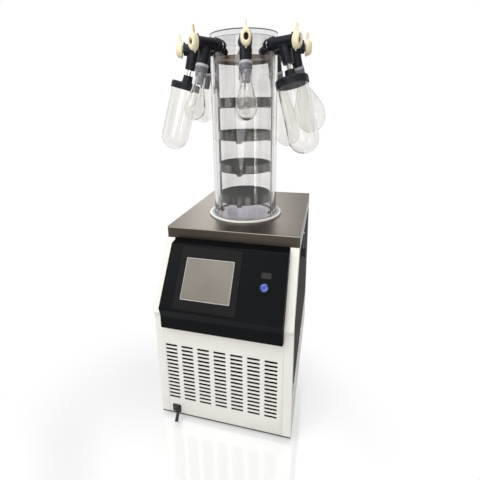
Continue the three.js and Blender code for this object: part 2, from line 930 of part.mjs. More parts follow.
function trapFoam() {
  const outer = foamInner + foamWall;
  const beyond = trapBarBeyond;
  const cup = turned(
    [
      [0, foamBottom],
      [outer, foamBottom],
      [outer, foamTop],
      [foamInner, foamTop],
      [foamInner, wellBottom - gap],
      [0, wellBottom - gap],
    ],
    mediumSides,
    0,
    chamberY,
  );
  const vacuumWay = rod(
    [foamInner - beyond, chamberY, portHeight],
    [outer + beyond, chamberY, portHeight],
    portTube + foamGap,
  );
  const suctionWay = rod(
    aroundTrap(foamInner - beyond, lineAngle, coilTop),
    aroundTrap(outer + beyond, lineAngle, coilTop),
    coilTube + foamGap,
  );
  const liquidWay = rod(
    aroundTrap(coilRadius, liquidAngle, foamBottom - beyond),
    aroundTrap(coilRadius, liquidAngle, wellBottom + beyond),
    coilTube + foamGap,
  );
  const drainWay = rod(
    [0, chamberY, foamBottom - beyond],
    [0, chamberY, wellBottom],
    pipeRadius + foamGap,
  );
  add("trap_insulation", cut(cup, vacuumWay, suctionWay, liquidWay, drainWay), "foam");
}

// ---- chamber ----

function baseGasket() {
  const [low, high] = [deckHeight + gap, deckHeight + gap + gasketHeight];
  const ring = turned(
    [
      [trapFlange + 1, low],
      [gasketRadius, low],
      [gasketRadius, high],
      [chamberRadius + 1, high],
      [chamberRadius + 1, low + gasketFloor],
      [trapFlange + 1, low + gasketFloor],
      [trapFlange + 1, low],
    ],
    largeSides,
    0,
    chamberY,
  );
  add("base_gasket", ring, "silicone");
}

const stationAngle = (i) => ((ringTurn + (i * 360) / valveCount) * Math.PI) / 180;

// A direction out from the chamber's axis; angle 0 is the cabinet's front.
const outward = (radius, angle, z) => [
  radius * Math.sin(angle),
  chamberY - radius * Math.cos(angle),
  z,
];

// The clear chamber, open at the bottom, with its lid glued on and a hole for each valve.
function chamber() {
  const inner = chamberRadius - chamberWall;
  let body = turned(
    [
      [0, chamberTop - lidThickness],
      [inner, chamberTop - lidThickness],
      [inner, chamberBase],
      [chamberRadius, chamberBase],
      [chamberRadius, chamberTop],
      [0, chamberTop],
    ],
    largeSides,
    0,
    chamberY,
  );
  for (let i = 0; i < valveCount; i++) {
    const hole = rod(
      outward(inner - cutBeyond, stationAngle(i), valveZ),
      outward(chamberRadius + cutBeyond, stationAngle(i), valveZ),
      plugRadius + plugGap,
    );
    body = cut(body, hole);
  }
  add("chamber", body, "acrylic");
}

// ---- rack and trays ----

function trayRack() {
  const foot = trapRim + gap;
  const plateTop = chamberTop - lidThickness - rackHead;
  const postInner = trayRadius + 2 * gap;
  const postOuter = postInner + postThickness;
  const half = postWidth / 2;
  const halfSole = postSoleWidth / 2;
  const bars = [];
  for (const side of [-1, 1]) {
    const [a, b] = [side * postInner, side * postOuter];
    const [c, d] = [side * (postInner - postFoot), side * (postInner + postThickness / 2)];
    bars.push(
      block([Math.min(a, b), -half, foot], [Math.max(a, b), half, plateTop]),
      block([Math.min(c, d), -halfSole, foot], [Math.max(c, d), halfSole, foot + postSole]),
    );
  }
  const halfCross = crossWidth / 2;
  const channel = [
    [-halfCross, 0],
    [halfCross, 0],
    [halfCross * 0.6, -crossHeight],
    [-halfCross * 0.6, -crossHeight],
  ];
  for (let i = 1; i <= trayCount; i++) {
    const z = trayFloor(i) - gap;
    const level = channel.map(([x, dz]) => [x, z + dz]);
    bars.push(
      block([-postInner - 1, -half, z - postThickness], [postInner + 1, half, z]),
      upright(level, -trayRadius + 3, trayRadius - 3),
    );
  }
  const rim = postOuter + rackOver;
  const plate = turned(
    [
      [0, plateTop - rackPlate],
      [rim - rackRimWall, plateTop - rackPlate],
      [rim - rackRimWall, plateTop - rackRim],
      [rim, plateTop - rackRim],
      [rim, plateTop],
      [0, plateTop],
    ],
    largeSides,
  );
  const rack = add("tray_rack", join(plate, ...bars), "tray");
  rack.position.y = chamberY;
}

function trays() {
  for (let i = 1; i <= trayCount; i++) {
    const low = trayFloor(i);
    const tray = turned(
      [
        [0, low],
        [trayRadius - 1.5, low],
        [trayRadius, low + 1.5],
        [trayRadius, low + trayHeight],
        [trayRadius - trayWall, low + trayHeight],
        [trayRadius - trayWall, low + trayWall],
        [0, low + trayWall],
      ],
      traySides,
      0,
      chamberY,
    );
    add(`tray_${i}`, tray, "tray");
  }
}

// ---- valves, knobs and flasks ----

const tilt = (spoutTilt * Math.PI) / 180;

// A point down the spout's axis, in a valve's own frame: X out from the chamber, Z up.
const down = (length, across = 0) => [
  spoutX + length * Math.sin(tilt) + across * Math.cos(tilt),
  0,
  -length * Math.cos(tilt) + across * Math.sin(tilt),
];

const spoutRod = (from, to, radius, endRadius, sides = smallSides) =>
  rod(down(from), down(to), radius, endRadius, sides);

const nubInner = (chamberRadius - chamberWall) * Math.cos(Math.PI / largeSides);
const nubEnd = Math.sqrt(nubInner ** 2 - nubRadius ** 2) - 1;
const capEnd = spoutLength - 2 + capLength;
const neckStart = capEnd + gap;
const plugInner = neckRadius - glassWall - jointGap;
const socketStart = spoutLength + linkTubeLength;
const lidStart = socketStart + socketLength;
const lidEnd = lidStart + lidHeight;

function valveBody() {
  const parts = [
    rod([nubEnd - nubLength, 0, 0], [nubEnd, 0, 0], nubRadius * 0.6, nubRadius),
    rod([nubEnd - 2, 0, 0], [collarStart + 2, 0, 0], plugRadius),
    rod([collarStart, 0, 0], [bodyStart, 0, 0], collarRadius - 1.5, collarRadius),
    rod([bodyStart - 1, 0, 0], [bodyEnd, 0, 0], bodyRadius),
    block(
      [bodyEnd - earSize, -earSize / 2, 0],
      [bodyEnd, earSize / 2, bodyRadius + earSize - earSink],
    ),
    spoutRod(0, spoutLength, spoutTopRadius, spoutEndRadius),
  ];
  return join(...parts);
}

// What is cut out of a valve: the knob stem's socket, and the bore from the chamber to a flask.
function valveBore(reach) {
  const stemStart = bodyEnd - stemLength - gap;
  return join(
    rod([stemStart, 0, 0], [bodyEnd + 1, 0, 0], stemRadius + stemGap),
    rod([nubEnd - nubLength - 1, 0, 0], [stemStart + 1, 0, 0], boreRadius, boreRadius, boreSides),
    spoutRod(0, reach, boreRadius, boreRadius, boreSides),
  );
}

// The push-in adapter with its ground plug, which carries a narrow flask.
function adapter() {
  return join(
    spoutRod(spoutLength - 2, capEnd, capRadius, capRadius - 1),
    spoutRod(capEnd - 2, capEnd + neckLength, plugInner, plugInner - 1),
  );
}

// The short steel tube and the rubber lid that grips a wide flask.
function wideLid() {
  const lid = join(
    spoutRod(spoutLength - 3, socketStart + 3, linkTubeRadius),
    spoutRod(socketStart, lidStart + 2, socketRadius, socketRadius + 2),
    spoutRod(lidStart, lidEnd, lidRadius, lidRadius, mediumSides),
  );
  const mouth = wideRadius + jointGap;
  return cut(lid, spoutRod(lidEnd - lidGrip, lidEnd + 1, mouth, mouth, mediumSides));
}

// A narrow pear-shaped flask, hung from its mouth at height 0. The bulb is drawn as a ball at its
// height before stretching, so that the cone meets it smoothly.
function pearFlask({ radius, length, stretch }) {
  const arcSteps = 5;
  const skin = (inset) => {
    const [neck, ball] = [neckRadius - inset, radius - inset];
    const centre = radius - length / stretch;
    const low = -neckLength / stretch;
    const reach = Math.hypot(neck, low - centre);
    const toNeck = Math.atan2(low - centre, neck);
    const tangent = toNeck - Math.acos(ball / reach);
    const points = [
      [neck, 0],
      [neck, -neckLength],
    ];
    for (let i = 0; i <= arcSteps; i++) {
      const angle = tangent + ((-Math.PI / 2 - tangent) * i) / arcSteps;
      const height = (centre + ball * Math.sin(angle)) * stretch;
      points.push([i === arcSteps ? 0 : ball * Math.cos(angle), height]);
    }
    return points;
  };
  return turned([...skin(0), ...skin(glassWall).reverse(), skin(0)[0]], flaskSides);
}

// A wide-mouthed flask with upright sides and a round bottom.
function wideFlask() {
  const skin = (inset) => {
    const ball = wideRadius - inset;
    const centre = wideRadius - wideLength;
    const points = [[ball, 0]];
    const arcSteps = 5;
    for (let i = 0; i <= arcSteps; i++) {
      const angle = (-Math.PI / 2) * (i / arcSteps);
      points.push([i === arcSteps ? 0 : ball * Math.cos(angle), centre + ball * Math.sin(angle)]);
    }
    return points;
  };
  return turned([...skin(0), ...skin(glassWall).reverse(), skin(0)[0]], flaskSides);
}

// A turned piece about X with its radii stretched to an oval, from points [share, x].
function oval(points, halfWidth, halfHeight) {
  const geometry = new THREE.LatheGeometry(
    points.map(([share, x]) => new THREE.Vector2(share, x)),
    flaskSides,
  );
  geometry.rotateZ(-Math.PI / 2);
  geometry.scale(1, halfWidth, halfHeight);
  return solid(geometry);
}

// The domed oval handle with a hollow in its face, a fin on top and a stem into the valve.
function knobBody() {
  const back = bodyEnd + hubGap;
  const face = back + hubLength;
  const front = face + knobThickness;
  const dome = oval(
    [
      [0, face],
      [1, face],
      [1, front - knobDome],
      [knobShoulder, front - knobShoulderDepth],
      [knobFace, front],
      [0, front],
    ],
    knobHalfWidth,
    knobHalfHeight,
  );
  const hollow = oval(
    [
      [0, face + knobFloor],
      [1, face + knobFloor],
      [1, front + cutBeyond],
      [0, front + cutBeyond],
    ],
    knobHoleWidth,
    knobHoleHeight,
  );
  const finFoot = knobHalfHeight - finSink;
  const fin = upright(
    [
      [face, finFoot],
      [face + finBase, finFoot],
      [face + finLean + finTip, finTop - finTip / 4],
      [face + finLean + finTip / 2, finTop],
      [face + finLean, finTop - finTip / 4],
    ],
    -finThickness / 2,
    finThickness / 2,
  );
  const tail = upright(
    [
      [face, -finFoot],
      [face + tailWidth / 3, -tailDrop],
      [face + tailWidth / 2, -tailDrop],
      [face + tailWidth, -finFoot],
    ],
    -finThickness / 2,
    finThickness / 2,
  );
  const inside = face + knobFloor / 2;
  const stem = rod([bodyEnd - stemLength, 0, 0], [inside, 0, 0], stemRadius, stemRadius, boreSides);
  const hub = rod([back, 0, 0], [inside, 0, 0], hubRadius, hubRadius, boreSides);
  return join(cut(dome, hollow), fin, tail, stem, hub);
}

// What hangs on each valve, going round from the front one towards the right.
const hung = [
  smallFlask,
  "wide",
  largeFlask,
  longFlask,
  mediumFlask,
  mediumFlask,
  "wide",
  smallFlask,
];

function valves() {
  const plain = valveBody();
  const withAdapter = cut(join(plain, adapter()), valveBore(capEnd + neckLength + 1));
  const withLid = cut(join(plain, wideLid()), valveBore(lidEnd));
  const knob = knobBody();
  for (let i = 0; i < valveCount; i++) {
    const station = new THREE.Group();
    station.position.set(0, chamberY, valveZ);
    station.rotation.z = stationAngle(i) - Math.PI / 2;
    machine.add(station);
    const kind = hung[i % hung.length];
    const wide = kind === "wide";
    add(`valve_${i + 1}`, wide ? withLid : withAdapter, "rubber", station);
    add(`valve_knob_${i + 1}`, knob, "ivory", station);
    const hanging = new THREE.Group();
    hanging.position.set(...down(wide ? lidEnd - lidGrip + gap : neckStart));
    hanging.rotation.y = -tilt;
    station.add(hanging);
    add(`flask_${i + 1}`, wide ? wideFlask() : pearFlask(kind), "glass", hanging);
  }
}

// ---- cooling machinery ----

const condenserFront = frontY + sheet + condenserSetback;
const condenserBack = condenserFront + condenserDepth;
const condenserLow = panTop + gap + condenserLift;
const condenserTop = condenserLow + condenserHeight;
const fanZ = condenserLow + condenserHeight / 2;
const fanFront = condenserBack + fanGap;
const fanBack = fanFront + fanDepth;
const motorFront = fanBack + motorGap;
const fanReach = fanGap + fanDepth;

// The finned condenser: a core with upright fins front and back, on two feet.
function condenser() {
  const half = condenserWidth / 2;
  const pitch = condenserWidth / (2 * finCount - 1);
  const edge = (y, inner) => {
    const points = [];
    for (let i = 0; i < finCount; i++) {
      const left = -half + 2 * i * pitch;
      if (i > 0) points.push([left, inner]);
      points.push([left, y], [left + pitch, y]);
      if (i < finCount - 1) points.push([left + pitch, inner]);
    }
    return points;
  };
  const front = edge(condenserFront, condenserFront + finDepth);
  const back = edge(condenserBack, condenserBack - finDepth).reverse();
  const core = flat(outline([...front, ...back]), condenserLow, condenserTop);
  const footHalf = condenserFootWidth / 2;
  const feet = [-1, 1].map((side) =>
    block(
      [side * condenserFootX - footHalf, condenserFront + finDepth, panTop + gap],
      [side * condenserFootX + footHalf, condenserBack - finDepth, condenserLow + 1],
    ),
  );
  add("condenser", join(core, ...feet), "aluminium");
}

function fan() {
  const hub = rod([0, fanFront, fanZ], [0, fanBack, fanZ], fanHub);
  const shaft = rod([0, fanBack - 1, fanZ], [0, motorFront + shaftSink, fanZ], shaftRadius);
  const root = fanHub - bladeSink;
  const tip = fanRadius - bladeTipGap;
  const blades = [];
  for (let i = 0; i < fanBlades; i++) {
    const geometry = new THREE.BoxGeometry(bladeWidth, bladeThickness, tip - root);
    geometry.rotateZ(bladeTwist);
    geometry.translate(0, 0, (tip + root) / 2);
    geometry.rotateY((i * 2 * Math.PI) / fanBlades);
    geometry.translate(0, (fanFront + fanBack) / 2, fanZ);
    blades.push(solid(geometry));
  }
  add("condenser_fan", join(hub, shaft, ...blades), "enamel");
}

function fanMotor() {
  const back = motorFront + motorLength;
  const casing = rod([0, motorFront, fanZ], [0, back, fanZ], motorRadius, motorRadius, mediumSides);
  const bore = rod(
    [0, motorFront - 1, fanZ],
    [0, motorFront + shaftSink + 1, fanZ],
    shaftRadius + stemGap,
  );
  const leg = block(
    [-motorLegWidth / 2, motorFront + motorLegStart, panTop + gap],
    [motorLegWidth / 2, motorFront + motorLegStart + motorLegDepth, fanZ - motorRadius + motorLegSink],
  );
  const sole = block(
    [-motorLegWidth, motorFront, panTop + gap],
    [motorLegWidth, motorFront + motorSoleDepth, panTop + gap + motorSole],
  );
  add("fan_motor", join(cut(casing, bore), leg, sole), "enamel");
}

// The compressor's can on its base plate, with the discharge line to the condenser.
function compressor() {
  const [low, high] = [panTop + gap, compressorTop];
  const r = compressorRadius;
  const can = turned(
    [
      [0, low + canLift],
      [canFoot, low + canLift + 2],
      [r, low + canBelly],
      [r, high - canShoulder],
      [canBrow, high - canCrown],
      [canFlat, high],
      [0, high],
    ],
    flaskSides,
    compressorX,
    compressorY,
  );
  const base = block(
    [compressorX - r, compressorY - canBaseDepth, low],
    [compressorX + r, compressorY + canBaseDepth, low + canBase],
  );
  const lineTop = high + 2 * coilBend;
  const path = [
    [compressorX + lineOffset, compressorY, high - 3 * coilBend],
    [compressorX + lineOffset, compressorY, lineTop],
    [lineX, compressorY - r - 2 * coilBend, lineTop],
    [lineX, condenserBack + 2 * fanReach, condenserTop - lineDrop],
    [lineX, condenserBack + gap, condenserTop - lineDrop],
  ];
  const line = pipe(eased(path, coilBend), coilTube);
  add("compressor", join(can, base, line), "enamel");
}

// ---- fittings ----

// The vacuum port: a clamp flange on the right side and its tube in to the trap.
function vacuumPort() {
  const end = halfWidth + portReach;
  const foamEdge = foamInner + foamWall;
  const inside = [end - 1, portY, portHeight];
  const bendStart = [halfWidth - portFlange, portY, portHeight];
  const bendEnd = [foamEdge + portTube, chamberY, portHeight];
  const path = [inside, bendStart, bendEnd, [wellRadius + 1, chamberY, portHeight]];
  const bore = [[end + 1, portY, portHeight], ...path.slice(1, 3), [trapMouth, chamberY, portHeight]];
  const bar = (from, to, radius) =>
    rod([from, portY, portHeight], [to, portY, portHeight], radius, radius, flaskSides);
  const outer = join(
    pipe(eased(path, portTube), portTube, boreSides),
    bar(end - portCollar, end, portFlange),
    bar(halfWidth + gap, halfWidth + gap + portWall, portFlange),
  );
  const hollow = pipe(eased(bore, portTube), portTube - portWall, boreSides);
  add("vacuum_port", cut(outer, hollow), "dark");
}

const drainStemY = frontY - gap - drainCollar / 2;

// The drain valve at the front's lower left, and the pipe to it from the bottom of the trap.
function drainValve() {
  const half = drainPlate / 2;
  const face = frontY - gap;
  const at = (y) => [drainX, y, drainHeight];
  const path = [
    at(face),
    [drainX, condenserBack + pipeBend, drainHeight],
    [drainX * 0.6, chamberY - trapMouth, (drainHeight + foamBottom) / 2],
    [0, chamberY, foamBottom - 2 * pipeBend],
    [0, chamberY, wellBottom - gap],
  ];
  const plateX = drainX + drainPlateShift;
  const nozzle = (share) => [
    drainX,
    face - nozzleStart - (nozzleReach - nozzleStart) * share,
    drainHeight + (nozzleLow - drainHeight) * share,
  ];
  const parts = [
    block(
      [plateX - half, face - drainFlange, drainHeight - half],
      [plateX + half, face, drainHeight + half],
    ),
    rod(at(face), at(face - drainCollar), drainBody),
    rod(nozzle(0), nozzle(0.9), drainNozzle),
    rod(nozzle(flareStart), nozzle(1), drainNozzle, drainNozzle + nozzleFlare),
    pipe(eased(path, pipeBend), pipeRadius),
  ];
  const stemHole = rod(
    [drainX, drainStemY, drainHeight + drainBody - stemSink - gap],
    [drainX, drainStemY, drainHeight + drainBody + cutBeyond],
    drainStem + stemGap,
  );
  add("drain_valve", cut(join(...parts), stemHole), "dark");
}

function drainLever() {
  const low = drainHeight + drainBody + drainStem / 2;
  const top = low + leverThickness;
  const half = leverWidth / 2;
  const stemLow = drainHeight + drainBody - stemSink;
  const stem = rod([drainX, drainStemY, stemLow], [drainX, drainStemY, top], drainStem);
  const handle = block(
    [drainX - half, drainStemY - leverLength, low],
    [drainX + half, drainStemY + half, top],
  );
  add("drain_lever", join(stem, handle), "dark");
}

// The mains inlet in the back, with its three pins.
function powerInlet() {
  const box = (x0, y0, z0, x1, y1, z1) =>
    block(
      [inletX + Math.min(x0, x1), Math.min(y0, y1), inletHeight + z0],
      [inletX + Math.max(x0, x1), Math.max(y0, y1), inletHeight + z1],
    );
  const [halfW, halfT] = [inletWidth / 2 - gap, inletTall / 2 - gap];
  const [rimW, rimT] = [halfW + inletRim, halfT + inletBrow];
  const outside = deckBack + gap;
  const face = deckBack + inletReach;
  const body = join(
    box(-rimW, outside, -rimT, rimW, face, rimT),
    box(-halfW, deckBack - inletDepth, -halfT, halfW, outside + 1, halfT),
  );
  const [mouthW, mouthT] = [halfW - inletWall - 1, halfT - inletWall];
  const recess = box(-mouthW, deckBack - recessDepth, -mouthT, mouthW, face + 1, mouthT);
  const pins = [-pinPitch, 0, pinPitch].map((x) =>
    box(x - pinSize / 2, deckBack - recessDepth - 1, -pinSize, x + pinSize / 2, deckBack - pinTip, pinSize),
  );
  add("power_inlet", join(cut(body, recess), ...pins), "rubber");
}

basePan();
feet();
sideFrame("left", -1);
sideFrame("right", 1);
backPanel();
frontGrille();
deck();
consoleShell();
consoleFace();
powerButton();
coldTrap();
trapFoam();
evaporatorCoil();
baseGasket();
chamber();
trayRack();
trays();
valves();
condenser();
fan();
fanMotor();
compressor();
vacuumPort();
drainValve();
drainLever();
powerInlet();
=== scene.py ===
import math

import bmesh
import bpy
from mathutils import Matrix, Vector


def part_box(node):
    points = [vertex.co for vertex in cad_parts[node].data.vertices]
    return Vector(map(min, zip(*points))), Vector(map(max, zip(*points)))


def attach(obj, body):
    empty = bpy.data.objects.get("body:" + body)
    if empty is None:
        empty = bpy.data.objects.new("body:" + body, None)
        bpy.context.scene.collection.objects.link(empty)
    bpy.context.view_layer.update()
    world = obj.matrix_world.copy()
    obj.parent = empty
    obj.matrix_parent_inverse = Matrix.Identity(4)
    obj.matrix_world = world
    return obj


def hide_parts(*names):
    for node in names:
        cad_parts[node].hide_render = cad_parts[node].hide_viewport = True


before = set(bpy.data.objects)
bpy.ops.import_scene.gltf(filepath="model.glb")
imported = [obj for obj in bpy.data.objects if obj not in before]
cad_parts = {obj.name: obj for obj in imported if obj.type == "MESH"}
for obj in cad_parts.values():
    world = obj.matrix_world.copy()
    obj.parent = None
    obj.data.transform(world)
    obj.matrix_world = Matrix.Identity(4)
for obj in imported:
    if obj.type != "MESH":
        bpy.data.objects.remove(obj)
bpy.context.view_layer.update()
mm = 0.001  # lengths are in millimetres until a helper turns them into metres
print("frame loaded")


def box(name):
    # a node's lowest and highest corner in millimetres
    return [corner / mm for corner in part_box(name)]


def vec(x, y, z):
    # a point in metres from one in millimetres
    return Vector((x, y, z)) * mm


chamberLow, chamberHigh = box("chamber")
axisY = (chamberLow.y + chamberHigh.y) / 2
onAxis = Matrix.Translation(vec(0, axisY, 0))
vessel = {"radius": 109.5, "wall": 9, "lid": 16, "glueLine": 0.12, "ease": 0.8, "hole": 13.6, "drop": 42,
          "band": 16}
trap = {"flangeEase": 0.5, "flange": 2, "wall": 1.5, "mouth": 72, "vacuumHole": 11, "drainHole": 3.5}
gasket = {"inner": 98, "ledge": 2.5, "play": 1, "ease": 1.2, "white": 119.5, "fade": 2}
valveCount = 8
firstStation = 15  # degrees from the cabinet's front, towards the right


class Wire:
    # a node's output that works in plain sums, adding its Math nodes as it goes
    def __init__(self, finish, socket):
        self.finish = finish
        self.socket = socket

    def sum(self, operation, *values):
        return self.finish.wire("ShaderNodeMath", {"operation": operation}, dict(enumerate(values)))

    def __add__(self, other):
        return self.sum("ADD", self, other)

    def __radd__(self, other):
        return self.sum("ADD", other, self)

    def __sub__(self, other):
        return self.sum("SUBTRACT", self, other)

    def __rsub__(self, other):
        return self.sum("SUBTRACT", other, self)

    def __mul__(self, other):
        return self.sum("MULTIPLY", self, other)

    def size(self):
        return self.sum("ABSOLUTE", self)

    def held(self, low=0.0, high=1.0):
        return self.sum("MINIMUM", self.sum("MAXIMUM", self, low), high)

    def about(self, middle, reach):
        # a value that wanders round its middle as this noise does
        return middle + (self - 0.5) * reach


class Finish:
    # the nodes of one material, or of the world, and the short ways to wire them up
    def __init__(self, name, owner=None):
        self.owner = owner or bpy.data.materials.new(name)
        self.owner.use_nodes = True
        self.nodes, self.links = self.owner.node_tree.nodes, self.owner.node_tree.links
        self.nodes.clear()

    def node(self, kind, settings, values):
        made = self.nodes.new(kind)
        for key, value in settings.items():
            setattr(made, key, value)
        for key, value in values.items():
            if isinstance(value, Wire):
                self.links.new(value.socket, made.inputs[key])
            else:
                made.inputs[key].default_value = value
        return made

    def wire(self, kind, settings, values, output=0):
        return Wire(self, self.node(kind, settings, values).outputs[output])

    def spot(self):
        return self.wire("ShaderNodeTexCoord", {}, {}, "Object")

    def axis(self, name):
        return self.wire("ShaderNodeSeparateXYZ", {}, {"Vector": self.spot()}, name)

    def distance(self, start, end):
        return self.wire("ShaderNodeVectorMath", {"operation": "DISTANCE"}, {0: start, 1: end}, "Value")

    def fromAxis(self):
        # distance from the chamber's upright axis
        flat = self.wire("ShaderNodeVectorMath", {"operation": "MULTIPLY"}, {0: self.spot(), 1: (1, 1, 0)})
        return self.distance(flat, (0, axisY * mm, 0))

    def noise(self, scale, detail=3, stretch=(1, 1, 1), roughness=0.5):
        where = self.wire("ShaderNodeMapping", {}, {"Vector": self.spot(), "Scale": stretch})
        return self.wire("ShaderNodeTexNoise", {}, {
            "Vector": where, "Scale": scale, "Detail": detail, "Roughness": roughness})

    def rise(self, value, low, high, soft=False, start=0.0, end=1.0):
        # goes from start to end while the value goes from low to high
        kind = "SMOOTHSTEP" if soft else "LINEAR"
        return self.wire("ShaderNodeMapRange", {"interpolation_type": kind}, {
            "Value": value, "From Min": low, "From Max": high, "To Min": start, "To Max": end})

    def rays(self, *kinds):
        # 1 for rays of the kinds named and 0 for all others
        path = self.node("ShaderNodeLightPath", {}, {})
        total, *others = [Wire(self, path.outputs[f"Is {kind} Ray"]) for kind in kinds]
        for other in others:
            total = total + other
        return total.held()

    def blend(self, factor, first, second):
        return self.wire("ShaderNodeMix", {"data_type": "RGBA"}, {0: factor, 6: first, 7: second}, 2)

    def mix(self, factor, first, second):
        return self.wire("ShaderNodeMixShader", {}, {0: factor, 1: first, 2: second})

    def bump(self, height, strength, distance):
        values = {"Height": height, "Strength": strength, "Distance": distance}
        return self.wire("ShaderNodeBump", {}, values)

    def output(self, shader, kind="Material"):
        self.node(f"ShaderNodeOutput{kind}", {}, {"Surface": shader})
        return self.owner

    def surface(self, **values):
        words = {key.replace("_", " "): value for key, value in values.items()}
        return self.output(self.wire("ShaderNodeBsdfPrincipled", {}, words))


def linear(value):
    return value / 12.92 if value <= 0.04045 else ((value + 0.055) / 1.055) ** 2.4


def colour(code, gain=1.0):
    # a web colour as the linear values a shader takes
    parts = [int(code[i:i + 2], 16) / 255 for i in (1, 3, 5)]
    return (*[min(1.0, linear(part) * gain) for part in parts], 1)


def rolled(f, stretch, roughness, depth, cloud):
    # grain along one way with faint clouds over it: its tone, and what else a surface takes from it
    grain, clouds = f.noise(9, 4, stretch), f.noise(7)
    tone = clouds.about(grain.about(0.5, depth), cloud).held()
    rough = clouds.about(grain.about(roughness, 0.16), 0.1).held(0.05)
    return tone, {"Metallic": 1.0, "Roughness": rough, "Normal": f.bump(grain, 0.12, 0.0004)}


def brushed(name, code, stretch, roughness, depth=0.12):
    f = Finish(name)
    tone, rest = rolled(f, stretch, roughness, depth, 0.18)
    return f.surface(Base_Color=f.blend(tone, colour(code, 0.62), colour(code, 1.38)), **rest)


def polished(name, code, roughness=0.14):
    f = Finish(name)
    haze = f.noise(38, 4)
    base = f.blend(haze, colour(code, 0.86), colour(code, 1.12))
    return f.surface(Base_Color=base, Metallic=1.0, Roughness=haze.about(roughness, 0.1).held(0.03))


def painted(name, code, roughness=0.42, peel=0.05, shine=0.5):
    # sprayed sheet: the skin of an orange, very fine, and a trace of dust
    f = Finish(name)
    skin, dust = f.noise(420, 2), f.noise(6, 5)
    base = f.blend(dust, colour(code, 0.955), colour(code, 1.02))
    return f.surface(Base_Color=base, Roughness=dust.about(roughness, 0.1), Specular_IOR_Level=shine,
                     Normal=f.bump(skin, peel, 0.0003))


def moulded(name, code, roughness, grain, bite, spread=0.12, shine=0.5, **more):
    # plastic or rubber from a mould: an even fine grain, a little drift in colour and gloss
    f = Finish(name)
    fine, drift = f.noise(grain, 2), f.noise(22)
    base = f.blend(drift, colour(code, 1 - spread), colour(code, 1 + spread))
    rough = drift.about(roughness, 0.14).held(0.05)
    return f.surface(Base_Color=base, Roughness=rough, Specular_IOR_Level=shine,
                     Normal=f.bump(fine, bite, 0.0002), **more)


def clear(name, code, edge, ior, roughness=0.01, ripple=0.02, streak=0.0, bands=()):
    # clear plastic or glass, deeper in tone where it is seen edge on; lamps shine straight through it
    f = Finish(name)
    waves, film, strands = f.noise(11, 2, (1, 1, 0.35)), f.noise(60), f.noise(26, 3, (1, 1, 0.03))
    slant = f.wire("ShaderNodeLayerWeight", {}, {"Blend": 0.5}, "Facing")
    body = f.blend(strands.about(0.5, 3.2).held(), colour(code, 1 - streak), colour(code))
    base = f.blend(f.rise(slant, 0.62, 0.97, True), body, colour(edge))
    for height, reach, front, back in bands:
        # a painted shade line round the rim, at its strongest in front
        near = 1 - f.rise((f.axis("Z") - height * mm).size(), reach * mm, (reach + 1) * mm)
        outside = f.rise(f.fromAxis(), (vessel["radius"] - 3) * mm, (vessel["radius"] - 2) * mm)
        strength = f.rise(f.axis("Y"), axisY * mm, (axisY + 40) * mm, start=front, end=back)
        base = f.blend(near * outside * strength, base, colour("#1d1c22"))
    shader = f.wire("ShaderNodeBsdfPrincipled", {}, {
        "Base Color": base, "Roughness": film.about(roughness, 0.02).held(), "IOR": ior,
        "Transmission Weight": 1.0, "Normal": f.bump(waves, ripple, 0.002)})
    window = f.wire("ShaderNodeBsdfTransparent", {}, {"Color": colour(code, 0.96)})
    return f.output(f.mix(f.rays("Shadow"), shader, window))


def deckSheet():
    # brushed sheet, bright on top and darker down the skirt as a painted dark reflection, with a painted
    # highlight along the arris between
    # the skirt's darker tones are a painted dark reflection, the arris tone a painted highlight
    tones = {"skirt": ("#332e29", "#5a534b"), "plate": ("#544d44", "#7c7367"), "arris": "#d8d0c2",
             "arrisHighlight": 0.7}
    f = Finish("brushedDeck")
    tone, rest = rolled(f, (0.6, 34, 34), 0.34, 0.12, 0.22)
    height, top = f.axis("Z"), box("deck")[1].z

    def under(low, high):
        return f.rise(height, (top - low) * mm, (top - high) * mm)

    skirt, plate = [f.blend(tone, *map(colour, tones[key])) for key in ("skirt", "plate")]
    # the arris band on the rounded top edge carries the painted highlight
    arris = under(2.6, 1.2) * (1 - under(0.7, 0.1))
    base = f.blend(arris * tones["arrisHighlight"], f.blend(under(4, 1.5), skirt, plate), colour(tones["arris"]))
    return f.surface(Base_Color=base, **rest)


def spunSteel():
    # thin steel in upright light and dark streaks, partly its grain and partly painted reflection
    f = Finish("traySteel")
    streaks, clouds = f.noise(60, 4, (1, 1, 0.04), 0.6), f.noise(22, 3, (1, 1, 0.3))
    tone = clouds.about(streaks.about(0.3, 3.6), 3.4).held()
    # the bright end of the streaks is painted reflection
    base = f.blend(tone, colour("#151413"), colour("#918d89"))
    rough = clouds.about(0.2, 0.16).held(0.08)
    return f.surface(Base_Color=base, Metallic=1.0, Roughness=rough, Normal=f.bump(streaks, 0.25, 0.0005))


def wellSteel():
    # the trap's drawn steel: satin grey on the flange; inside, a lighter and less metallic colour and a
    # streaked glow, painted light where the trays shade the well
    f = Finish("wellSteel")
    grain, streaks = f.noise(30, 4, (1, 1, 0.05)), f.noise(45, 4, (1, 1, 0.03))
    inside = 1 - f.rise(f.fromAxis(), trap["mouth"] * mm, (trap["mouth"] + 2) * mm)
    flange = f.blend(grain, colour("#c6c4cb"), colour("#efedf3"))
    # the lighter, less metallic inside is painted light
    base = f.blend(inside, flange, f.blend(grain, colour("#dddce4"), colour("#fbfaff")))
    # a painted glow, streaked inside the well and faint on the flange; the well is no lamp
    lit = f.blend(streaks.about(0.5, 4).held(), colour("#323133"), colour("#646266"))
    gleam = f.blend(inside, colour("#242326"), lit)
    return f.surface(Base_Color=base, Metallic=(0.7 - inside * 0.6).held(), Emission_Color=gleam,
                     Emission_Strength=1.0, Roughness=grain.about(0.3, 0.2).held(0.05))


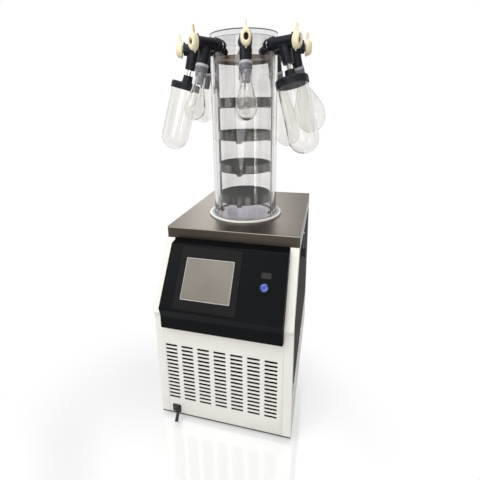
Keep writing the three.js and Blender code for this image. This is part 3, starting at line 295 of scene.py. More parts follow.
def ringSilicone():
    # white round the outside, clear grey towards the tube
    f = Finish("siliconeRing")
    fine = f.noise(500, 2)
    outer = f.rise(f.fromAxis(), gasket["white"] * mm, (gasket["white"] + gasket["fade"]) * mm)
    inner = f.blend(f.noise(26), colour("#77757a"), colour("#9c9a9f"))
    base, rough = f.blend(outer, inner, colour("#f4f2ee")), fine.about(0.36, 0.1).held(0.05)
    return f.surface(Base_Color=base, Roughness=rough, Normal=f.bump(fine, 0.05, 0.0002),
                     Subsurface_Weight=0.1, Subsurface_Scale=0.004)


def glassScreen():
    # a display that is off, with a soft slanting sheen across it
    f = Finish("displayGlass")
    slant = f.rise(f.axis("X") * 4.2 + f.axis("Z") * 3.4, 1.42, 1.82, True)
    tone = (slant * 0.55 + f.noise(1500, 1) * 0.22).held()
    base = f.blend(tone, colour("#7a736a"), colour("#8d867c"))
    return f.surface(Base_Color=base, Roughness=0.4, Specular_IOR_Level=0.2, Coat_Weight=0.1,
                     Coat_Roughness=0.06)


# painted shade lines round the lid's top edge and its seam
lidShadeLines = ((chamberHigh.z, 3, 1.0, 0.05), (chamberHigh.z - vessel["lid"], 1, 0.1, 0.05))
# each finish with the slot it belongs to
finishes = {
    "deck": ("brushed_deck", deckSheet()),
    "tray": ("tray_steel", spunSteel()),
    "rack": ("tray_steel", brushed("rackSteel", "#565150", (30, 30, 0.8), 0.34)),
    "plate": ("tray_steel", brushed("plateSteel", "#77675a", (0.8, 30, 30), 0.38)),
    "polished": ("polished_steel", polished("polishedSteel", "#c2bfba")),
    "trim": ("silver_trim", polished("satinTrim", "#8d8d8b", 0.42)),
    "white": ("white_steel", painted("whitePaint", "#edebe4", shine=0.2)),
    # the sill's dark tone is painted shadow
    "sill": ("dark_steel", painted("sillShadowPaint", "#4c4b49", 0.6, 0.16, 0.02)),
    # near-black side covers, partly painted dark reflection and shade
    "dark": ("dark_steel", painted("darkPaint", "#252523", 0.6, 0.16, 0.02)),
    "filter": ("black_plastic", moulded("filterFoam", "#191817", 0.95, 260, 0.9, 0.3, shine=0.1)),
    # the hollow's near-black lining is painted shade
    "hollow": ("ivory_plastic", moulded("knobHollow", "#2b2417", 0.6, 500, 0.1, 0.2, shine=0.2)),
    "console": ("black_console", moulded("consoleShell", "#06080b", 0.42, 700, 0.1, shine=0.07)),
    "membrane": ("membrane", moulded("membraneFilm", "#0b0b0c", 0.5, 1400, 0.2, shine=0.12)),
    "ring": ("black_rubber", moulded("buttonRubber", "#08080a", 0.5, 1400, 0.2, shine=0.12)),
    "switch": ("membrane", moulded("switchLabel", "#232322", 0.5, 1400, 0.2, shine=0.2)),
    "display": ("display", glassScreen()),
    "blue": ("blue_plastic", moulded("blueButton", "#3c50ab", 0.22, 500, 0.03, 0.2, Coat_Weight=0.4)),
    "rubber": ("black_rubber", moulded("valveRubber", "#0f1118", 0.4, 900, 0.16, 0.25, shine=0.2)),
    "feet": ("black_rubber", moulded("feetRubber", "#1c1c1e", 0.7, 700, 0.3)),
    "ivory": ("ivory_plastic", moulded("ivoryKnob", "#ede3c3", 0.34, 500, 0.04, 0.05,
                                       Subsurface_Weight=0.15, Subsurface_Scale=0.004)),
    "adapter": ("acrylic", moulded("groundAdapter", "#6c6b73", 0.38, 1200, 0.1, 0.08,
                                   Transmission_Weight=0.25)),
    "cap": ("acrylic", moulded("adapterCap", "#c4c3c8", 0.3, 1200, 0.05, 0.06, Transmission_Weight=0.2)),
    "silicone": ("silicone", ringSilicone()),
    "well": ("polished_steel", wellSteel()),
    "acrylic": ("acrylic", clear("clearAcrylic", "#f5f4f3", "#a9a8aa", 1.49, streak=0.16)),
    "lid": ("acrylic", clear("lidAcrylic", "#f4f3f4", "#d9d8da", 1.01, streak=0.1, bands=lidShadeLines)),
    "glass": ("flask_glass", clear("flaskGlass", "#faf9f7", "#74726f", 1.47, 0.0, 0.006, 0.05)),
    "foam": ("foam", moulded("foamShell", "#c9c3a8", 0.9, 160, 0.9, 0.1)),
    "copper": ("copper", brushed("copperTube", "#b87850", (20, 20, 20), 0.3, 0.2)),
    "fins": ("aluminium", brushed("finStock", "#9da0a3", (30, 30, 1), 0.45, 0.3)),
    "enamel": ("black_enamel", painted("blackEnamel", "#1a1a1c", 0.35, 0.2)),
    "fitting": ("dark_metal", moulded("drainBody", "#20201b", 0.4, 600, 0.3, 0.2, shine=0.3)),
    "socket": ("black_plastic", moulded("inletPlastic", "#17181a", 0.5, 800, 0.2)),
}
print("finishes made")


sharpAngle = 38  # degrees from which an edge shows as a corner


def loose(name, data):
    # an object round a mesh, curve, lamp or camera, put into the scene
    item = bpy.data.objects.new(name, data)
    bpy.context.scene.collection.objects.link(item)
    return item


def asMesh(name, bm):
    mesh = bpy.data.meshes.new(name)
    bm.to_mesh(mesh)
    bm.free()
    return mesh


def shapedMesh(item):
    # the mesh that an object has once its modifiers are through
    bpy.context.view_layer.update()
    return bpy.data.meshes.new_from_object(item.evaluated_get(bpy.context.evaluated_depsgraph_get()))


def finished(name, bm, finish, body="machine", replaces=(), weigh=True):
    # turns a bmesh into a piece that rides on a body
    bmesh.ops.remove_doubles(bm, verts=bm.verts, dist=1e-6)
    bmesh.ops.recalc_face_normals(bm, faces=bm.faces)
    for face in bm.faces:
        face.smooth = True
    for edge in bm.edges:
        edge.smooth = len(edge.link_faces) == 2 and edge.calc_face_angle(0) < math.radians(sharpAngle)
    piece = loose(name, asMesh(name, bm))
    slot, material = finishes[finish]
    piece.data.materials.append(material)
    if weigh:
        corners = piece.modifiers.new("corners", "WEIGHTED_NORMAL")
        corners.keep_sharp = True
    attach(piece, body)
    if replaces:
        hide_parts(*replaces)
    return piece


def bevel(bm, edges, width, segments):
    bmesh.ops.bevel(bm, geom=list(edges), offset=width * mm, segments=segments, profile=0.5,
                    affect="EDGES", material=-1, clamp_overlap=True)


def sharpEdges(bm, limit=30):
    return [e for e in bm.edges if len(e.link_faces) == 2 and e.calc_face_angle(0) > math.radians(limit)]


def merge(bm, part, matrix):
    # moves a part to its place and adds it to a bmesh
    bmesh.ops.transform(part, matrix=matrix, verts=part.verts)
    mesh = asMesh("part", part)
    bm.from_mesh(mesh)
    bpy.data.meshes.remove(mesh)


def drawnLine(bm, points, closed=True):
    # the edges of a line through points
    verts = [bm.verts.new([value * mm for value in point]) for point in points]
    ends = verts[1:] + verts[:1] if closed else verts[1:]
    return [bm.edges.new(pair) for pair in zip(verts, ends)]


def pulledOut(bm, edges, way):
    # draws edges out into sheet
    grown = bmesh.ops.extrude_edge_only(bm, edges=edges)["geom"]
    moved = [item for item in grown if isinstance(item, bmesh.types.BMVert)]
    bmesh.ops.translate(bm, vec=[value * mm for value in way], verts=moved)
    bmesh.ops.recalc_face_normals(bm, faces=bm.faces)


def thickened(bm, sheet, way):
    # gives a skin its thickness, inwards from the face furthest along a way
    outermost = max(bm.faces, key=lambda face: face.calc_center_median().dot(Vector(way)))
    if outermost.normal.dot(Vector(way)) < 0:
        bmesh.ops.reverse_faces(bm, faces=bm.faces)
    bmesh.ops.solidify(bm, geom=list(bm.faces), thickness=sheet * mm)


def slab(bm, low, high, ease=0.0, segments=2, matrix=Matrix.Identity(4)):
    # a box from corner to corner with its edges eased
    part = bmesh.new()
    bmesh.ops.create_cube(part, size=1)
    bmesh.ops.scale(part, vec=[(b - a) * mm for a, b in zip(low, high)], verts=part.verts)
    bmesh.ops.translate(part, vec=[(b + a) / 2 * mm for a, b in zip(low, high)], verts=part.verts)
    if ease:
        bevel(part, part.edges, ease, segments)
    merge(bm, part, matrix)


def rounded(points, ease, segments):
    # rounds each inner corner of a line
    result = [points[0]]
    for before, at, after in zip(points, points[1:], points[2:]):
        a, b, c = Vector(before), Vector(at), Vector(after)
        reach = min(ease, (a - b).length * 0.45, (c - b).length * 0.45)
        start = b + (a - b).normalized() * reach
        end = b + (c - b).normalized() * reach
        for i in range(segments + 1):
            t = i / segments
            result.append(tuple(start * (1 - t) ** 2 + b * 2 * t * (1 - t) + end * t ** 2))
    result.append(points[-1])
    return result


def lathe(bm, profile, matrix=Matrix.Identity(4), steps=64, ease=0.0, segments=3):
    # spins points of radius and height round the Z axis; ease rounds the profile's corners
    part = bmesh.new()
    points = rounded(profile, ease, segments) if ease else profile
    drawnLine(part, [(max(r, 0.0), 0, z) for r, z in points], closed=False)
    bmesh.ops.spin(part, geom=list(part.verts) + list(part.edges), cent=(0, 0, 0), axis=(0, 0, 1),
                   angle=2 * math.pi, steps=steps, use_merge=True)
    bmesh.ops.remove_doubles(part, verts=part.verts, dist=1e-6)
    bmesh.ops.recalc_face_normals(part, faces=part.faces)
    merge(bm, part, matrix)


def turned(name, finish, profile, matrix, steps=64, ease=0.0, segments=3, **more):
    # a piece that is one lathe shape
    bm = bmesh.new()
    lathe(bm, profile, matrix, steps, ease, segments)
    return finished(name, bm, finish, **more)


def along(bm, profile, matrix=Matrix.Identity(4), steps=64, ease=0.0):
    # a lathe shape lying along X, from points of distance and radius
    lathe(bm, [(r, x) for x, r in profile], matrix @ Matrix.Rotation(math.pi / 2, 4, "Y"), steps, ease)


def aimed(way):
    # turns Z to point along a way
    return Vector((0, 0, 1)).rotation_difference(Vector(way)).to_matrix().to_4x4()


def rod(bm, start, end, radius, ease=0.0, steps=32, matrix=Matrix.Identity(4)):
    # a round bar between two points
    a, b = [matrix @ vec(*point) for point in (start, end)]
    length = (b - a).length / mm
    profile = [(0, 0), (radius, 0), (radius, length), (0, length)]
    lathe(bm, profile, Matrix.Translation(a) @ aimed(b - a), steps, ease)


def prism(bm, outline, near, far, holes=(), matrix=Matrix.Identity(4), ease=0.0, segments=2):
    # a flat outline in X and Y, with holes, drawn out along Z
    part = bmesh.new()
    rings = []
    for ring in (outline, *holes):
        rings += drawnLine(part, [(x, y, near) for x, y in ring])
    if holes:
        bmesh.ops.triangle_fill(part, edges=rings, use_beauty=True)
    else:
        part.faces.new(part.verts)
    grown = bmesh.ops.extrude_face_region(part, geom=list(part.faces))["geom"]
    moved = [item for item in grown if isinstance(item, bmesh.types.BMVert)]
    bmesh.ops.translate(part, vec=(0, 0, (far - near) * mm), verts=moved)
    bmesh.ops.recalc_face_normals(part, faces=part.faces)
    if ease:
        bevel(part, sharpEdges(part), ease, segments)
    merge(bm, part, matrix)


def circle(radius, steps, centre):
    turns = [2 * math.pi * i / steps for i in range(steps)]
    return [(centre.x + radius * math.cos(a), centre.y + radius * math.sin(a)) for a in turns]


def roundedBox(left, low, right, high, radius, steps=6):
    centres = [(right - radius, low + radius, -90), (right - radius, high - radius, 0),
               (left + radius, high - radius, 90), (left + radius, low + radius, 180)]
    points = []
    for x, y, first in centres:
        for i in range(steps + 1):
            a = math.radians(first + 90 * i / steps)
            points.append((x + radius * math.cos(a), y + radius * math.sin(a)))
    return points


def middled(width, height, radius, steps=6):
    return roundedBox(-width / 2, -height / 2, width / 2, height / 2, radius, steps)


def carved(piece, cutter):
    # takes the cutter out of a piece and keeps the result as its mesh
    bmesh.ops.recalc_face_normals(cutter, faces=cutter.faces)
    tool = loose("cutter", asMesh("cutter", cutter))
    work = piece.modifiers.new("carve", "BOOLEAN")
    work.operation = "DIFFERENCE"
    work.solver = "EXACT"
    work.object = tool
    shape = shapedMesh(piece)
    piece.modifiers.remove(work)
    piece.data = shape
    bpy.data.objects.remove(tool)


def fused(bm, voxel, rounds, cutter):
    # fuses overlapping solids into one moulded skin with soft inner corners, then bores it
    bmesh.ops.recalc_face_normals(bm, faces=bm.faces)
    work = loose("mould", asMesh("mould", bm))
    remesh = work.modifiers.new("fuse", "REMESH")
    remesh.mode, remesh.voxel_size = "VOXEL", voxel * mm
    soften = work.modifiers.new("soften", "SMOOTH")
    soften.factor, soften.iterations = 0.5, rounds
    carved(work, cutter)
    skin = work.data
    bpy.data.objects.remove(work)
    return skin


def placed(skin, matrix):
    bm = bmesh.new()
    bm.from_mesh(skin)
    bmesh.ops.transform(bm, matrix=matrix, verts=bm.verts)
    return bm


sideways = Matrix(((0, 0, 1, 0), (1, 0, 0, 0), (0, 1, 0, 0), (0, 0, 0, 1)))  # X, Y, Z from Y, Z, X
facing = Matrix(((1, 0, 0, 0), (0, 0, 1, 0), (0, 1, 0, 0), (0, 0, 0, 1)))  # X, Y, Z from X, Z, Y


cabinet = {
    "frontLine": [(-303, 12), (-303, 377), (-310, 391), (-288, 423), (-180, 586.7)],
    "cheekWidth": 27, "sheet": 2, "foldRadius": 2.2,
    "coverLine": [(-286.7, 162.3), (307.7, 162.3), (307.7, 574.7), (-163.7, 574.7), (-271.4, 423),
                  (-286.7, 407)],
    "coverGap": 0.5, "coverEase": 0.6,
    "sill": {"height": 4, "proud": 0.6, "depth": 3, "inset": 1},
}
port = {"radius": 20, "collar": 5, "tube": 13, "hole": 13.6, "bore": 10, "plate": (0.3, 3), "taper": 1.6,
        "lip": (3, 1.2)}


def sill():
    # the base pan's edge along the bottom of the front, darkened as painted shadow of the gap under the
    # cabinet
    low, high = box("right_side_frame")
    size, front = cabinet["sill"], cabinet["frontLine"][0][0]
    end = high.x - size["inset"]
    bm = bmesh.new()
    slab(bm, (-end, front - size["proud"], low.z), (end, front + size["depth"], low.z + size["height"]))
    finished("baseSill", bm, "sill")


def portAxis():
    # where the vacuum port's axis stands, as Y and Z
    low, high = box("vacuum_port")
    return low.y + port["radius"], (low.z + high.z) / 2


def sideShells():
    low, high = box("right_side_frame")
    line, cover, sheet = cabinet["frontLine"], cabinet["coverLine"], cabinet["sheet"]
    rim = line + [(high.y, high.z), (high.y, low.z)]
    centre = [sum(point[k] for point in cover) / len(cover) for k in (0, 1)]
    inner = [[p[k] - math.copysign(cabinet["coverGap"], p[k] - centre[k]) for k in (0, 1)] for p in cover]
    for name, side in (("left", -1), ("right", 1)):
        outer = side * high.x
        bm = bmesh.new()
        edges, hole = [drawnLine(bm, [(outer, y, z) for y, z in ring]) for ring in (rim, cover)]
        bmesh.ops.triangle_fill(bm, edges=edges + hole, use_beauty=True)
        pulledOut(bm, edges[:len(line) - 1], (-side * cabinet["cheekWidth"], 0, 0))
        bevel(bm, sharpEdges(bm, 20), cabinet["foldRadius"], 4)
        bmesh.ops.recalc_face_normals(bm, faces=bm.faces)
        thickened(bm, sheet, (side, 0, 0))
        finished(f"{name}SideShell", bm, "white", replaces=(f"{name}_side_frame",))
        bm = bmesh.new()
        # each cover is near-black, partly painted dark reflection and shade
        prism(bm, inner, outer - side * sheet, outer, matrix=sideways, ease=cabinet["coverEase"])
        piece = finished(f"{name}SideCover", bm, "dark", replaces=(f"{name}_side_cover",))
    # the last cover, the right one, gets the hole for the port
    y, z = portAxis()
    cutter = bmesh.new()
    rod(cutter, (high.x - 20, y, z), (high.x + 20, y, z), port["hole"])
    carved(piece, cutter)


grille = {"grid": (7, 15), "size": (38, 7.5), "pitch": (52.3, 14.1), "middle": (-7, 177.7),
          "ease": 1.5, "steps": 3, "sheet": 1.2, "edge": 0.4,
          "filter": {"gap": 2, "thick": 4, "height": (60, 300), "inset": 4, "ease": 0.6}}
vents = {"grid": (2, 6), "size": (130, 8), "pitch": (160, 24), "middle": (0, 420), "ease": 3.92, "steps": 5,
         "edge": 0.4, "inletRim": (5, 4, 2)}


def slotted(panel, depth, slots, windows=()):
    # cuts rows of slots, and other windows, through a sheet that faces the front or the back
    (columns, rows), (wide, tall), ease = slots["grid"], slots["size"], slots["ease"]
    rings = []
    for column in range(columns):
        for row in range(rows):
            x = slots["middle"][0] + (column - (columns - 1) / 2) * slots["pitch"][0] - wide / 2
            z = slots["middle"][1] + (row - (rows - 1) / 2) * slots["pitch"][1] - tall / 2
            rings.append(roundedBox(x, z, x + wide, z + tall, ease, slots["steps"]))
    cutter = bmesh.new()
    for ring in (*rings, *windows):
        prism(cutter, ring, *depth, matrix=facing)
    carved(panel, cutter)


def frontGrille():
    low, high = box("front_grille")
    bm = bmesh.new()
    slab(bm, low, (high.x, low.y + grille["sheet"], high.z), grille["edge"])
    panel = finished("frontGrille", bm, "white", replaces=("front_grille",), weigh=False)
    slotted(panel, (low.y - 10, high.y + 10), grille)
    size = grille["filter"]
    near, inset, (bottom, top) = high.y + size["gap"], size["inset"], size["height"]
    bm = bmesh.new()
    slab(bm, (low.x + inset, near, bottom), (high.x - inset, near + size["thick"], top), size["ease"])
    finished("dustFilter", bm, "filter")


def deck():
    size = {"corner": 8, "edge": 2.4, "sheet": 3, "hole": 75.5}
    low, high = box("deck")
    bm = bmesh.new()
    rim = roundedBox(low.x, low.y, high.x, high.y, size["corner"], 8)
    hole = circle(size["hole"], 64, (chamberLow + chamberHigh) / 2)
    edges, inner = [drawnLine(bm, [(x, y, high.z) for x, y in ring]) for ring in (rim, hole)]
    bmesh.ops.triangle_fill(bm, edges=edges + inner, use_beauty=True)
    pulledOut(bm, edges, (0, 0, low.z - high.z))
    bevel(bm, sharpEdges(bm, 60), size["edge"], 4)
    thickened(bm, size["sheet"], (0, 0, 1))
    finished("deckPlate", bm, "deck", replaces=("deck",))


def backPanel():
    low, high = box("back_panel")
    inletLow, inletHigh = box("power_inlet")
    bm = bmesh.new()
    slab(bm, low, high, vents["edge"])
    panel = finished("backPanel", bm, "white", replaces=("back_panel",), weigh=False)
    x, z, ease = vents["inletRim"]
    window = roundedBox(inletLow.x + x, inletLow.z + z, inletHigh.x - x, inletHigh.z - z, ease, 3)
    slotted(panel, (low.y - 10, high.y + 10), vents, [window])


def screws():
    # pan heads that hold the back panel and the side covers
    head = {"radius": 3.6, "height": 1.9, "cross": 0.9, "inset": 12, "panelInset": 20, "coverInset": 25}
    panelLow, panelHigh = box("back_panel")
    low, high = box("right_side_cover")
    inset, front = head["inset"], low.y + head["coverInset"]
    spots = []
    for x in (panelLow.x + inset, 0.0, panelHigh.x - inset):
        for z in (panelLow.z + head["panelInset"], panelHigh.z - head["panelInset"]):
            spots.append(((x, panelHigh.y, z), (0, 1, 0)))
    for side in (-1, 1):
        for y in (front, (low.y + high.y) / 2, high.y - inset):
            for z in (low.z + inset, high.z - inset):
                # the cover slopes away at its upper front corner
                if (y, z) != (front, high.z - inset):
                    spots.append(((side * high.x, y, z), (side, 0, 0)))
    r, h, cross = head["radius"], head["height"], head["cross"]
    dome = [(0, 0), (r, 0), (r, h * 0.3), (r * 0.86, h * 0.75), (r * 0.5, h), (cross, h),
            (cross * 0.8, h * 0.4), (0, h * 0.4)]
    for index, (spot, way) in enumerate(spots):
        turned(f"screw{index + 1}", "polished", dome, Matrix.Translation(vec(*spot)) @ aimed(way), 20)


def feet():
    for name in ("front_left", "front_right", "rear_left", "rear_right"):
        low, high = box(f"foot_{name}")
        r, tall = (high.x - low.x) / 2, high.z - low.z
        profile = [(0, 0), (r * 0.84, 0), (r, tall * 0.34), (r, tall), (0, tall)]
        place = Matrix.Translation(vec((low.x + high.x) / 2, (low.y + high.y) / 2, low.z))
        turned("foot" + name.title().replace("_", ""), "feet", profile, place, 40, 1.5,
               replaces=(f"foot_{name}",))


console = {
    "line": [(-176, 586), (-211, 582), (-330, 419), (-322, 391), (-322, 349), (-303.3, 349)],
    "backLine": [(-303.3, 401), (-284, 423)],
    "wall": 3, "softEdge": 4,
    "bezel": {"left": -142, "top": 9, "width": 192, "length": 186, "thickness": 1.6, "lift": 0.3},
    "screen": {"left": -121, "top": 42, "width": 151, "length": 125, "rim": 2.8, "rise": 2, "depth": 9,
               "lift": 0.6, "sink": 1, "gap": 0.3, "lip": 3},
    "button": {"x": 124, "down": 106, "radius": 11.5, "height": 7, "depth": 16, "sleeve": 13.3,
               "flange": 17.3, "ringHeight": 3.5, "gap": 0.3},
    "plate": {"left": 112, "top": 63, "width": 29, "length": 17, "thickness": 1.2, "lift": 0.2},
}


def slopeMatrix():
    # X along the console, Y up its slope and Z out of it; Y = 0 is the upper edge
    top, end = [vec(0, *point) for point in console["line"][1:3]]
    up = (top - end).normalized()
    out = Vector((1, 0, 0)).cross(up)
    turn = Matrix((Vector((1, 0, 0)), up, out)).transposed().to_4x4()
    return Matrix.Translation(top) @ turn


slope = slopeMatrix()


def consoleShell():
    low, high = box("control_console")
    line = console["line"]
    bm = bmesh.new()
    sides = [[bm.verts.new(vec(x, y, z)) for y, z in line] for x in (low.x, high.x)]
    for i in range(len(line) - 1):
        bm.faces.new((sides[0][i], sides[0][i + 1], sides[1][i + 1], sides[1][i]))
    for x, side in zip((low.x, high.x), sides):
        bm.faces.new(side + [bm.verts.new(vec(x, y, z)) for y, z in console["backLine"]])
    bmesh.ops.recalc_face_normals(bm, faces=bm.faces)
    bevel(bm, sharpEdges(bm, 8), console["softEdge"], 4)
    thickened(bm, console["wall"], (0, -1, 0))
    shell = finished("consoleShell", bm, "console", replaces=("control_console",))
    screen, button = console["screen"], console["button"]
    left, low, right, high = edgesOf(screen, screen["lip"])
    cutter = bmesh.new()
    slab(cutter, (left, low, -6), (right, high, 4), matrix=slope)
    x, y = button["x"], -button["down"]
    rod(cutter, (x, y, -10), (x, y, 10), button["sleeve"] + button["gap"], matrix=slope)
    carved(shell, cutter)


def edgesOf(size, inset=0.0):
    # left, low, right and high of a rectangle on the slope
    left, high = size["left"], -size["top"]
    return left + inset, high - size["length"] + inset, left + size["width"] - inset, high - inset


def consoleFace():
    bezel, screen, plate = console["bezel"], console["screen"], console["plate"]
    window = edgesOf(screen, screen["rim"])
    start, base = bezel["lift"], screen["lift"] + bezel["thickness"]
    pane = base + screen["rise"] - screen["sink"]
    for name, finish, replaces, outline, near, far, holes, ease in (
        ("screenMembrane", "membrane", ("touch_bezel",), roundedBox(*edgesOf(bezel), 4), start,
         start + bezel["thickness"], [roundedBox(*window, 0.8, 2)], 0.3),
        ("screenFrame", "trim", ("screen_frame",), roundedBox(*edgesOf(screen), 2), base,
         base + screen["rise"], [roundedBox(*window, 1.2, 3)], 0.5),
        ("touchDisplay", "display", ("touch_screen",),
         roundedBox(*edgesOf(screen, screen["rim"] + screen["gap"]), 1, 2), pane - screen["depth"], pane,
         (), 0.4),
        ("switchPlate", "switch", (), roundedBox(*edgesOf(plate), 1.5), plate["lift"],
         plate["thickness"], (), 0.3),
    ):
        bm = bmesh.new()
        prism(bm, outline, near, far, holes, slope, ease)
        finished(name, bm, finish, replaces=replaces)


def powerButton():
    b = console["button"]
    place = slope @ Matrix.Translation(vec(b["x"], -b["down"], 0))
    r, h, back, sleeve, flange = b["radius"], b["height"], -b["depth"], b["sleeve"], b["flange"]
    inner = r + b["gap"]
    ring = [(inner, back), (sleeve, back), (sleeve, 0.3), (flange, 0.3), (flange, 1.6),
            (flange - 1.2, b["ringHeight"]), (inner, b["ringHeight"]), (inner, back)]
    turned("buttonRing", "ring", ring, place, 48, replaces=("button_ring",))
    cap = [(0, back + 3), (r, back + 3), (r, h - 1.6), (r - 0.7, h - 0.6), (r - 2.2, h),
           (r * 0.55, h - 0.6), (0, h - 0.9)]
    turned("powerButton", "blue", cap, place, 48, 0.5, body="button", replaces=("power_button",))


sideShells()
sill()
frontGrille()
deck()
backPanel()
screws()
feet()
consoleShell()
consoleFace()
powerButton()
print("cabinet and console made")


def coldTrap():
    low, high = box("cold_trap_well")
    top, floor, mouth, wall, under = high.z, low.z, trap["mouth"], trap["wall"], high.z - trap["flange"]
    profile = [(0, floor), (mouth + wall, floor), (mouth + wall, under), (high.x, under), (high.x, top),
               (mouth, top), (mouth, floor + wall), (0, floor + wall)]
    well = turned("coldTrapWell", "well", profile, onAxis, 96, trap["flangeEase"],
                  replaces=("cold_trap_well",))
    height = portAxis()[1]
    cutter = bmesh.new()
    rod(cutter, (60, axisY, height), (80, axisY, height), trap["vacuumHole"])
    rod(cutter, (0, axisY, floor - 2), (0, axisY, floor + 4), trap["drainHole"])
    carved(well, cutter)


def baseGasket():
    low, high = box("base_gasket")
    inner, seat, ledge = gasket["inner"], vessel["radius"] + gasket["play"], low.z + gasket["ledge"]
    profile = [(inner, low.z), (high.x, low.z), (high.x, high.z), (seat, high.z), (seat, ledge),
               (inner, ledge), (inner, low.z)]
    turned("baseGasket", "silicone", profile, onAxis, 96, gasket["ease"], 4, replaces=("base_gasket",))


def station(index):
    # the frame of a valve: X out from the chamber, Z up
    turn = math.radians(firstStation + 360 * index / valveCount - 90)
    return Matrix.Translation(vec(0, axisY, chamberHigh.z - vessel["drop"])) @ Matrix.Rotation(turn, 4, "Z")


def chamber():
    radius, inner, ease = vessel["radius"], vessel["radius"] - vessel["wall"], vessel["ease"]
    bottom, top, seam = chamberLow.z, chamberHigh.z, chamberHigh.z - vessel["lid"]
    low, high = [top - vessel["drop"] + side * vessel["band"] for side in (-1, 1)]
    end = seam - vessel["glueLine"]
    tube = [(inner, bottom), (radius, bottom), (radius, low), (radius, high), (radius, end), (inner, end),
            (inner, high), (inner, low), (inner, bottom)]
    shell = turned("chamberTube", "acrylic", tube, onAxis, 128, ease, 2, replaces=("chamber",))
    cutter = bmesh.new()
    for index in range(valveCount):
        rod(cutter, (90, 0, 0), (120, 0, 0), vessel["hole"], matrix=station(index))
    carved(shell, cutter)
    turned("chamberLid", "lid", [(0, seam), (radius, seam), (radius, top), (0, top)], onAxis, 128, ease, 2)


rack = {"postWidth": 16, "post": 3, "inner": 90.6, "plate": 3, "strapLift": 0.3, "ease": 0.4,
        "channel": {"width": 20, "depth": 8, "floor": 0.6, "reach": 87, "ease": 0.8},
        "nut": {"size": 5.5, "height": 2.2, "inset": 6}, "stud": {"radius": 2.6, "height": 2.4, "inset": 8},
        "rim": {"radius": 94.6, "wall": 2, "drop": 12, "ease": 0.9}, "foot": (9, 2, 10)}


def trayRack():
    low, high = box("tray_rack")
    ease, inner, half, top = rack["ease"], rack["inner"], rack["postWidth"] / 2, high.z
    under = top - rack["plate"]
    bm = bmesh.new()
    for side in (-1, 1):
        near, far = sorted((side * inner, side * (inner + rack["post"])))
        slab(bm, (near, -half, low.z), (far, half, under), ease, 2, onAxis)
        reach, thick, wide = rack["foot"]
        near, far = sorted((side * (inner - reach), side * (inner + rack["post"] / 2)))
        slab(bm, (near, -wide, low.z), (far, wide, low.z + thick), ease, 2, onAxis)
    finished("rackPosts", bm, "rack", replaces=("tray_rack",))
    channel, nut, stud, rim = rack["channel"], rack["nut"], rack["stud"], rack["rim"]
    for index in range(4):
        z = box(f"tray_{index + 1}")[0].z - rack["strapLift"]
        strap, wide, floor = z - rack["post"], channel["width"] / 2, channel["width"] / 2 * channel["floor"]
        deep = z - channel["depth"]
        bm = bmesh.new()
        slab(bm, (-inner, -half, strap), (inner, half, z), ease, 2, onAxis)
        prism(bm, [(-wide, z), (-floor, deep), (floor, deep), (wide, z)], -channel["reach"],
              channel["reach"], matrix=onAxis @ facing, ease=channel["ease"])
        for side in (-1, 1):
            x = side * (inner - nut["inset"])
            rod(bm, (x, 0, strap), (x, 0, strap - nut["height"]), nut["size"] / 2, 0.4, 6, onAxis)
        finished(f"rackCross{index + 1}", bm, "rack")
    edge, wall, foot = rim["radius"], rim["radius"] - rim["wall"], top - rim["drop"]
    disc = [(0, under), (wall, under), (wall, foot), (edge, foot), (edge, top), (0, top)]
    turned("rackPlate", "plate", disc, onAxis, 96, rim["ease"])
    bm = bmesh.new()
    for side in (-1, 1):
        x = side * (inner - stud["inset"])
        rod(bm, (x, 0, top), (x, 0, top + stud["height"]), stud["radius"], 0.6, matrix=onAxis)
    finished("rackStuds", bm, "polished")


tray = {"radius": 89.4, "wall": 1.2, "corner": 3, "bead": 1.4}


def trays():
    wall, bead = tray["wall"], tray["bead"]
    outer = tray["radius"] - bead + wall
    for index in range(4):
        low, high = box(f"tray_{index + 1}")
        bottom, top = low.z, high.z
        under = top - 2 * bead
        rim = []
        for i in range(9):
            a = math.radians(-70 + 250 * i / 8)
            rim.append((outer - wall * 0.4 + bead * math.cos(a), top - bead + bead * math.sin(a)))
        corner = rounded([(0, bottom), (outer, bottom), (outer, under)], tray["corner"], 5)
        inside = [(outer - wall, under), (outer - wall, bottom + wall), (0, bottom + wall)]
        cup = rounded([rim[-1]] + inside, tray["corner"] - wall, 5)
        turned(f"tray{index + 1}", "tray", corner + rim + cup[1:], onAxis, 96,
               replaces=(f"tray_{index + 1}",))


valve = {
    "nub": (17, 13), "plug": 13, "collar": (110.3, 15, 21), "body": (69, 18), "ear": 7,
    "spout": (64, 17.5, 15.5), "spoutX": 160.3, "tilt": 16, "bore": 4.5, "stemHole": 6.5,
    "stemLength": 25, "voxel": 1.1, "rounds": 6, "inner": 0.9969,
}
bodyEnd = valve["collar"][0] + valve["collar"][1] + valve["body"][0]


def spoutFrame():
    # hangs below a valve's frame with -Z down the spout
    turn = Matrix.Rotation(math.radians(-valve["tilt"]), 4, "Y")
    return Matrix.Translation(vec(valve["spoutX"], 0, 0)) @ turn


